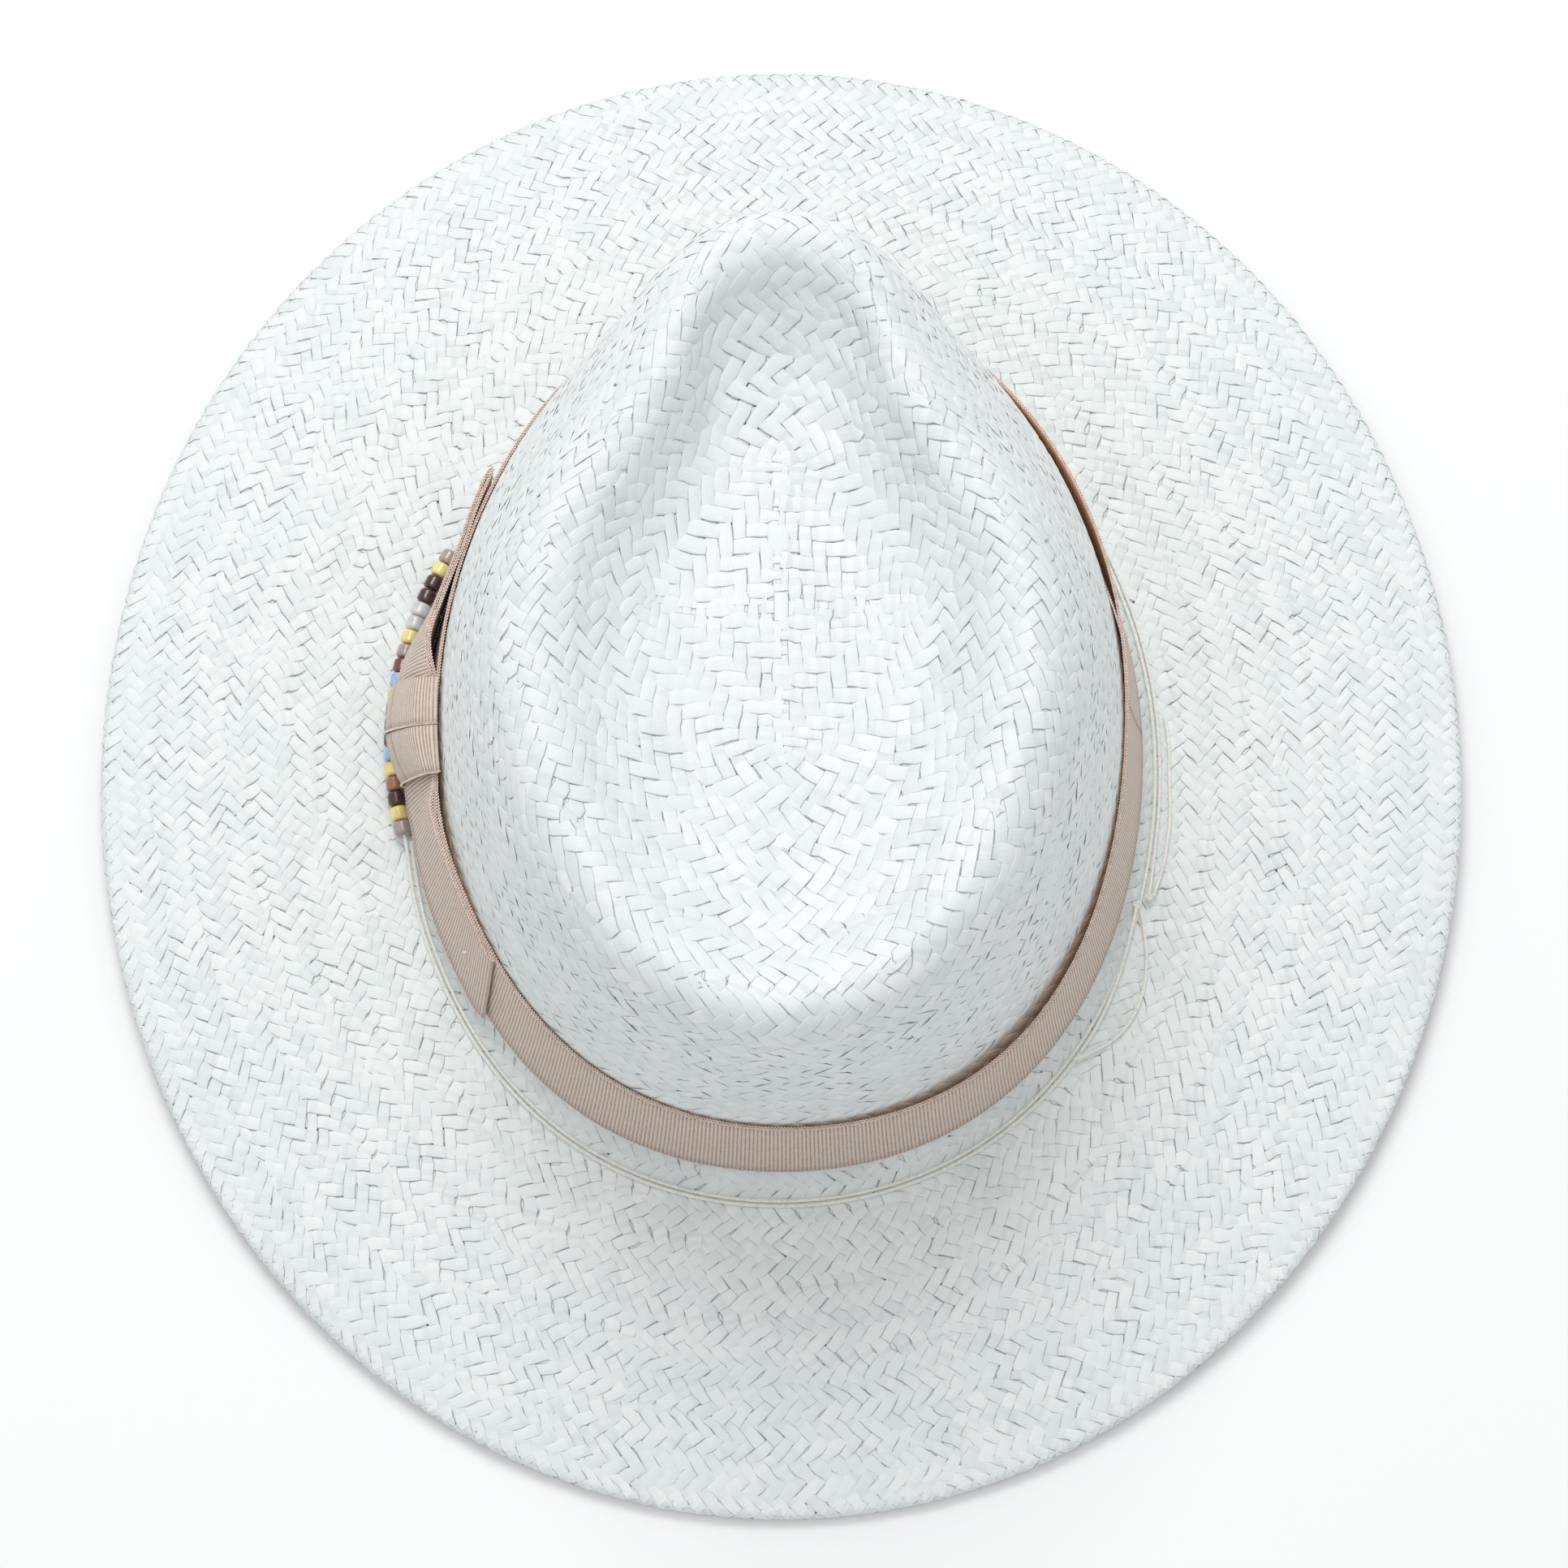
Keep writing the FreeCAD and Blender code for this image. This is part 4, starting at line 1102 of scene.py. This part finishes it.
front_loop = smooth_rows(wall_grid([
    (1.0, 3.0, 42.2, 21.0, 1.4, 1.9),
    (5.5, 7.0, 42.3, 18.8, 1.4, 1.9),
    (8.6, 9.5, 42.3, 18.0, 2.35, 1.35),
    (12.0, 13.0, 42.4, 17.6, 3.25, 1.35),
    (15.8, 17.0, 42.4, 17.6, 3.8, 1.35),
    (18.8, 20.0, 42.4, 17.6, 3.5, 1.35),
    (22.8, 24.0, 42.4, 17.6, 2.85, 1.35),
    (26.5, 27.5, 42.4, 17.6, 2.35, 1.35),
    (32.0, 32.5, 42.4, 17.6, 1.75, 1.35),
    (38.7, 38.5, 42.4, 17.6, 1.3, 1.35),
    (44.0, 43.0, 42.4, 17.6, 1.6, 1.35),
    (50.0, 48.5, 42.4, 17.6, 2.0, 1.35),
    (54.6, 53.0, 42.4, 17.6, 2.2, 2.1),
    (56.3, 54.6, 42.5, 17.7, 2.55, 2.4),
    (54.9, 53.2, 42.5, 17.7, 2.9, 2.75),
    (49.5, 48.0, 42.5, 17.6, 2.8, 2.7),
    (43.5, 42.5, 42.5, 17.6, 2.45, 2.6),
    (38.2, 38.0, 42.5, 17.6, 2.2, 2.6),
    (31.8, 32.3, 42.5, 17.6, 2.6, 3.0),
    (26.2, 28.5, 42.5, 17.6, 3.25, 3.4, 0.1),
    (22.6, 25.0, 42.5, 17.6, 3.8, 4.4, 0.3),
    (18.7, 20.5, 42.5, 17.6, 4.2, 5.8, 0.5),
    (15.6, 16.0, 42.5, 17.6, 4.45, 6.8, 0.9),
    (11.8, 12.0, 42.5, 17.9, 3.9, 7.2, 1.7),
    (8.4, 9.0, 42.4, 18.6, 3.1, 6.9, 2.7),
    (5.5, 6.0, 42.3, 19.3, 2.3, 6.5, 3.1),
    (1.5, 2.0, 42.0, 20.5, 2.3, 6.0, 3.0),
]), 5)
rear_loop = smooth_rows(wall_grid([
    (-12.0, -9.0, 42.0, 22.0, 1.3, 1.9),
    (-18.0, -15.0, 42.1, 19.5, 1.35, 1.9),
    (-21.5, -19.5, 42.2, 18.2, 1.7, 1.35),
    (-25.2, -24.0, 42.2, 17.7, 2.5, 1.35),
    (-28.5, -28.0, 42.2, 17.6, 2.9, 1.35),
    (-35.6, -36.0, 42.2, 17.6, 2.35, 1.35),
    (-43.7, -45.5, 42.2, 17.6, 1.75, 1.35),
    (-49.5, -52.0, 42.2, 17.6, 1.3, 1.35),
    (-56.0, -59.0, 42.2, 17.6, 1.1, 1.35),
    (-60.4, -63.6, 42.3, 17.7, 1.15, 1.75),
    (-62.2, -65.4, 42.4, 17.8, 1.5, 2.15),
    (-60.6, -63.8, 42.5, 17.7, 1.9, 2.55),
    (-55.6, -59.0, 42.5, 17.6, 1.7, 2.6),
    (-50.0, -52.0, 42.5, 17.6, 1.95, 2.75),
    (-42.1, -43.0, 42.5, 17.6, 2.45, 3.1, 0.1),
    (-34.5, -34.0, 42.5, 17.6, 3.1, 3.4, 0.2),
    (-28.2, -27.5, 42.5, 17.6, 3.6, 3.5, 0.3),
    (-25.0, -23.0, 42.5, 17.6, 3.35, 3.6, 0.4),
    (-21.5, -18.5, 42.4, 17.9, 2.35, 4.2, 0.6),
    (-18.3, -15.0, 42.3, 18.8, 1.85, 4.5, 0.9),
    (-12.0, -9.0, 42.0, 20.0, 1.85, 5.2, 1.2),
]), 5)
for name, rows, nodes in (("front", front_loop, ["bow_front_loop"]), ("rear", rear_loop, ["bow_rear_loop"])):
    loop = strip_piece(f"bow_{name}_ribbon", rows, RIBBON, ribbon_look, nodes, flip=name == "rear")
    edges = [
        picot_piece(f"bow_{name}_edge_top", rows[:, -1] + (0, 0, 0.1)),
        picot_piece(f"bow_{name}_edge_bottom", rows[:, 0] - (0, 0, 0.1)),
    ]

WRAP_BACK = 1.2
WRAP_BACK_DEPTH = 1.4
WRAP_BULGE = 9.7
WRAP_MIDDLE = -1.5
WRAP_TAPER = (1.4, 2.4)
WRAP_LOW_BULGE = 0.3
WRAP_BOTTOM = 16.0
WRAP_TOP = 44.9
WRAP_WIDTH = 11.3
WRAP_LEAN = 6.0
WRAP_REACH = 1.1
WRAP_STEPS = 84


def wrap_rows(middle, out=0.0):
    """The sleeve round the bow's waist: rows go round it, columns run along the side; out makes it larger."""
    middle_gap, middle_z = WRAP_BACK + WRAP_BACK_DEPTH, 0.5 * (WRAP_TOP + WRAP_BOTTOM)
    half_height = middle_z - WRAP_BOTTOM
    rows = []
    for i in range(WRAP_STEPS):
        turn = -TURN * i / WRAP_STEPS
        across, sine = math.cos(turn), math.sin(turn)
        z = middle_z + (half_height + out) * sine
        lean = WRAP_LEAN * (0.5 - (z - WRAP_BOTTOM) / (WRAP_TOP - WRAP_BOTTOM))
        over = min(1.0, max(0.0, (z - 42.3) / 1.6))
        row = []
        for t in ACROSS:
            y = middle + WRAP_WIDTH * (0.5 - t)
            away = (y - WRAP_MIDDLE) / WRAP_WIDTH
            bulge = WRAP_BULGE - WRAP_TAPER[0 if away > 0.0 else 1] * away * away
            if across > 0.0:
                depth = (bulge + out - middle_gap) * (1.0 - WRAP_LOW_BULGE * sine)
            else:
                depth = WRAP_BACK_DEPTH
            gap = middle_gap + depth * across - WRAP_REACH * over * over * (3.0 - 2.0 * over)
            row.append(wall_point(side_angle(y + lean), z, gap))
        rows.append(row)
    return np.array(rows)


for name, middle in (("front", 1.9), ("rear", -9.9)):
    rows = wrap_rows(middle)
    nodes = [f"bow_{name}_wrap"]
    wrap = strip_piece(f"bow_{name}_wrap_ribbon", rows, RIBBON, ribbon_look, nodes, closed=True)
    edges = [picot_piece(f"bow_{name}_wrap_edge", wrap_rows(middle, 0.3)[:, -1], closed=True, radius=0.36)]

sweat_rows = ring_rows(300, SWEAT_Z, SWEAT_GAPS)
sweat = strip_piece("sweatband_tape", sweat_rows, TAPE, tape_look, ["sweatband"], closed=True)
lap_half = math.degrees(math.asin(LAP_HALF_WIDTH / HEAD_HALF_WIDTH))
lap_gap = -(STRAW + 0.4 + 2.0 + 0.1)
lap_rows = np.array([
    [wall_point(math.radians(BACK_DEGREES + lap_half * u), z, lap_gap) for z in np.linspace(*LAP_Z, len(ACROSS))]
    for u in np.linspace(-1.0, 1.0, 17)
])
lap = strip_piece("sweatband_joint_tape", lap_rows, LAP_TAPE, tape_look, ["sweatband_lap"])

# ---------------------------------------------------------------- CAD pieces that stay
for node in ("hem_stitches", "sweatband_stitches", "bow_tacks"):
    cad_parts[node].data.materials.clear()
    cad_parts[node].data.materials.append(stitch_look)

BEAD_COLOURS = {
    "taupe": (0.42, 0.335, 0.31), "yellow": (0.86, 0.73, 0.26), "dark_brown": (0.075, 0.03, 0.028),
    "clear": (0.93, 0.94, 0.92), "red_brown": (0.20, 0.055, 0.045), "light_blue": (0.35, 0.54, 0.83),
    "copper": (0.40, 0.19, 0.095),
}
BEAD_ORDER = (
    "taupe yellow dark_brown dark_brown clear clear yellow taupe red_brown light_blue "
    "yellow copper dark_brown dark_brown light_blue yellow copper dark_brown yellow taupe"
).split()
bead_looks = {key: bead_material(f"glass_{key}", colour, key == "clear") for key, colour in BEAD_COLOURS.items()}
for i, key in enumerate(BEAD_ORDER):
    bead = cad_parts[f"bead_{i + 1:02d}"]
    bead.data.materials.clear()
    bead.data.materials.append(bead_looks[key])

# ---------------------------------------------------------------- floor and light
floor_look = Shader("floor", roughness=0.9)
floor_grain = floor_look.noise(3.0, 2.0)
floor_look.colour(floor_look.ramp(floor_grain, [(0.0, (0.93, 0.93, 0.93)), (1.0, (0.96, 0.96, 0.96))]))
bpy.ops.mesh.primitive_plane_add(size=8.0, location=(0.0, 0.0, cad_box[0][2] - 0.0005))
floor = bpy.context.object
floor.name = "floor"
floor.data.materials.append(floor_look.material)


def area_light(name, place, size, power):
    light = bpy.data.lights.new(name, "AREA")
    light.shape = "DISK"
    light.size = size
    light.energy = power
    thing = bpy.data.objects.new(name, light)
    thing.location = place
    bpy.context.scene.collection.objects.link(thing)
    aim(thing, (0.0, 0.0, 0.05))


area_light("key", (-0.15, 0.85, 1.45), 0.9, 11.5)
area_light("fill", (-0.2, -0.1, 1.6), 1.4, 4.0)
world = bpy.data.worlds.new("world")
world.use_nodes = True
background = world.node_tree.nodes["Background"]
background.inputs["Color"].default_value = (0.98, 0.99, 1.0, 1.0)
background.inputs["Strength"].default_value = 0.62
bpy.context.scene.world = world
bpy.context.scene.view_settings.view_transform = "Standard"
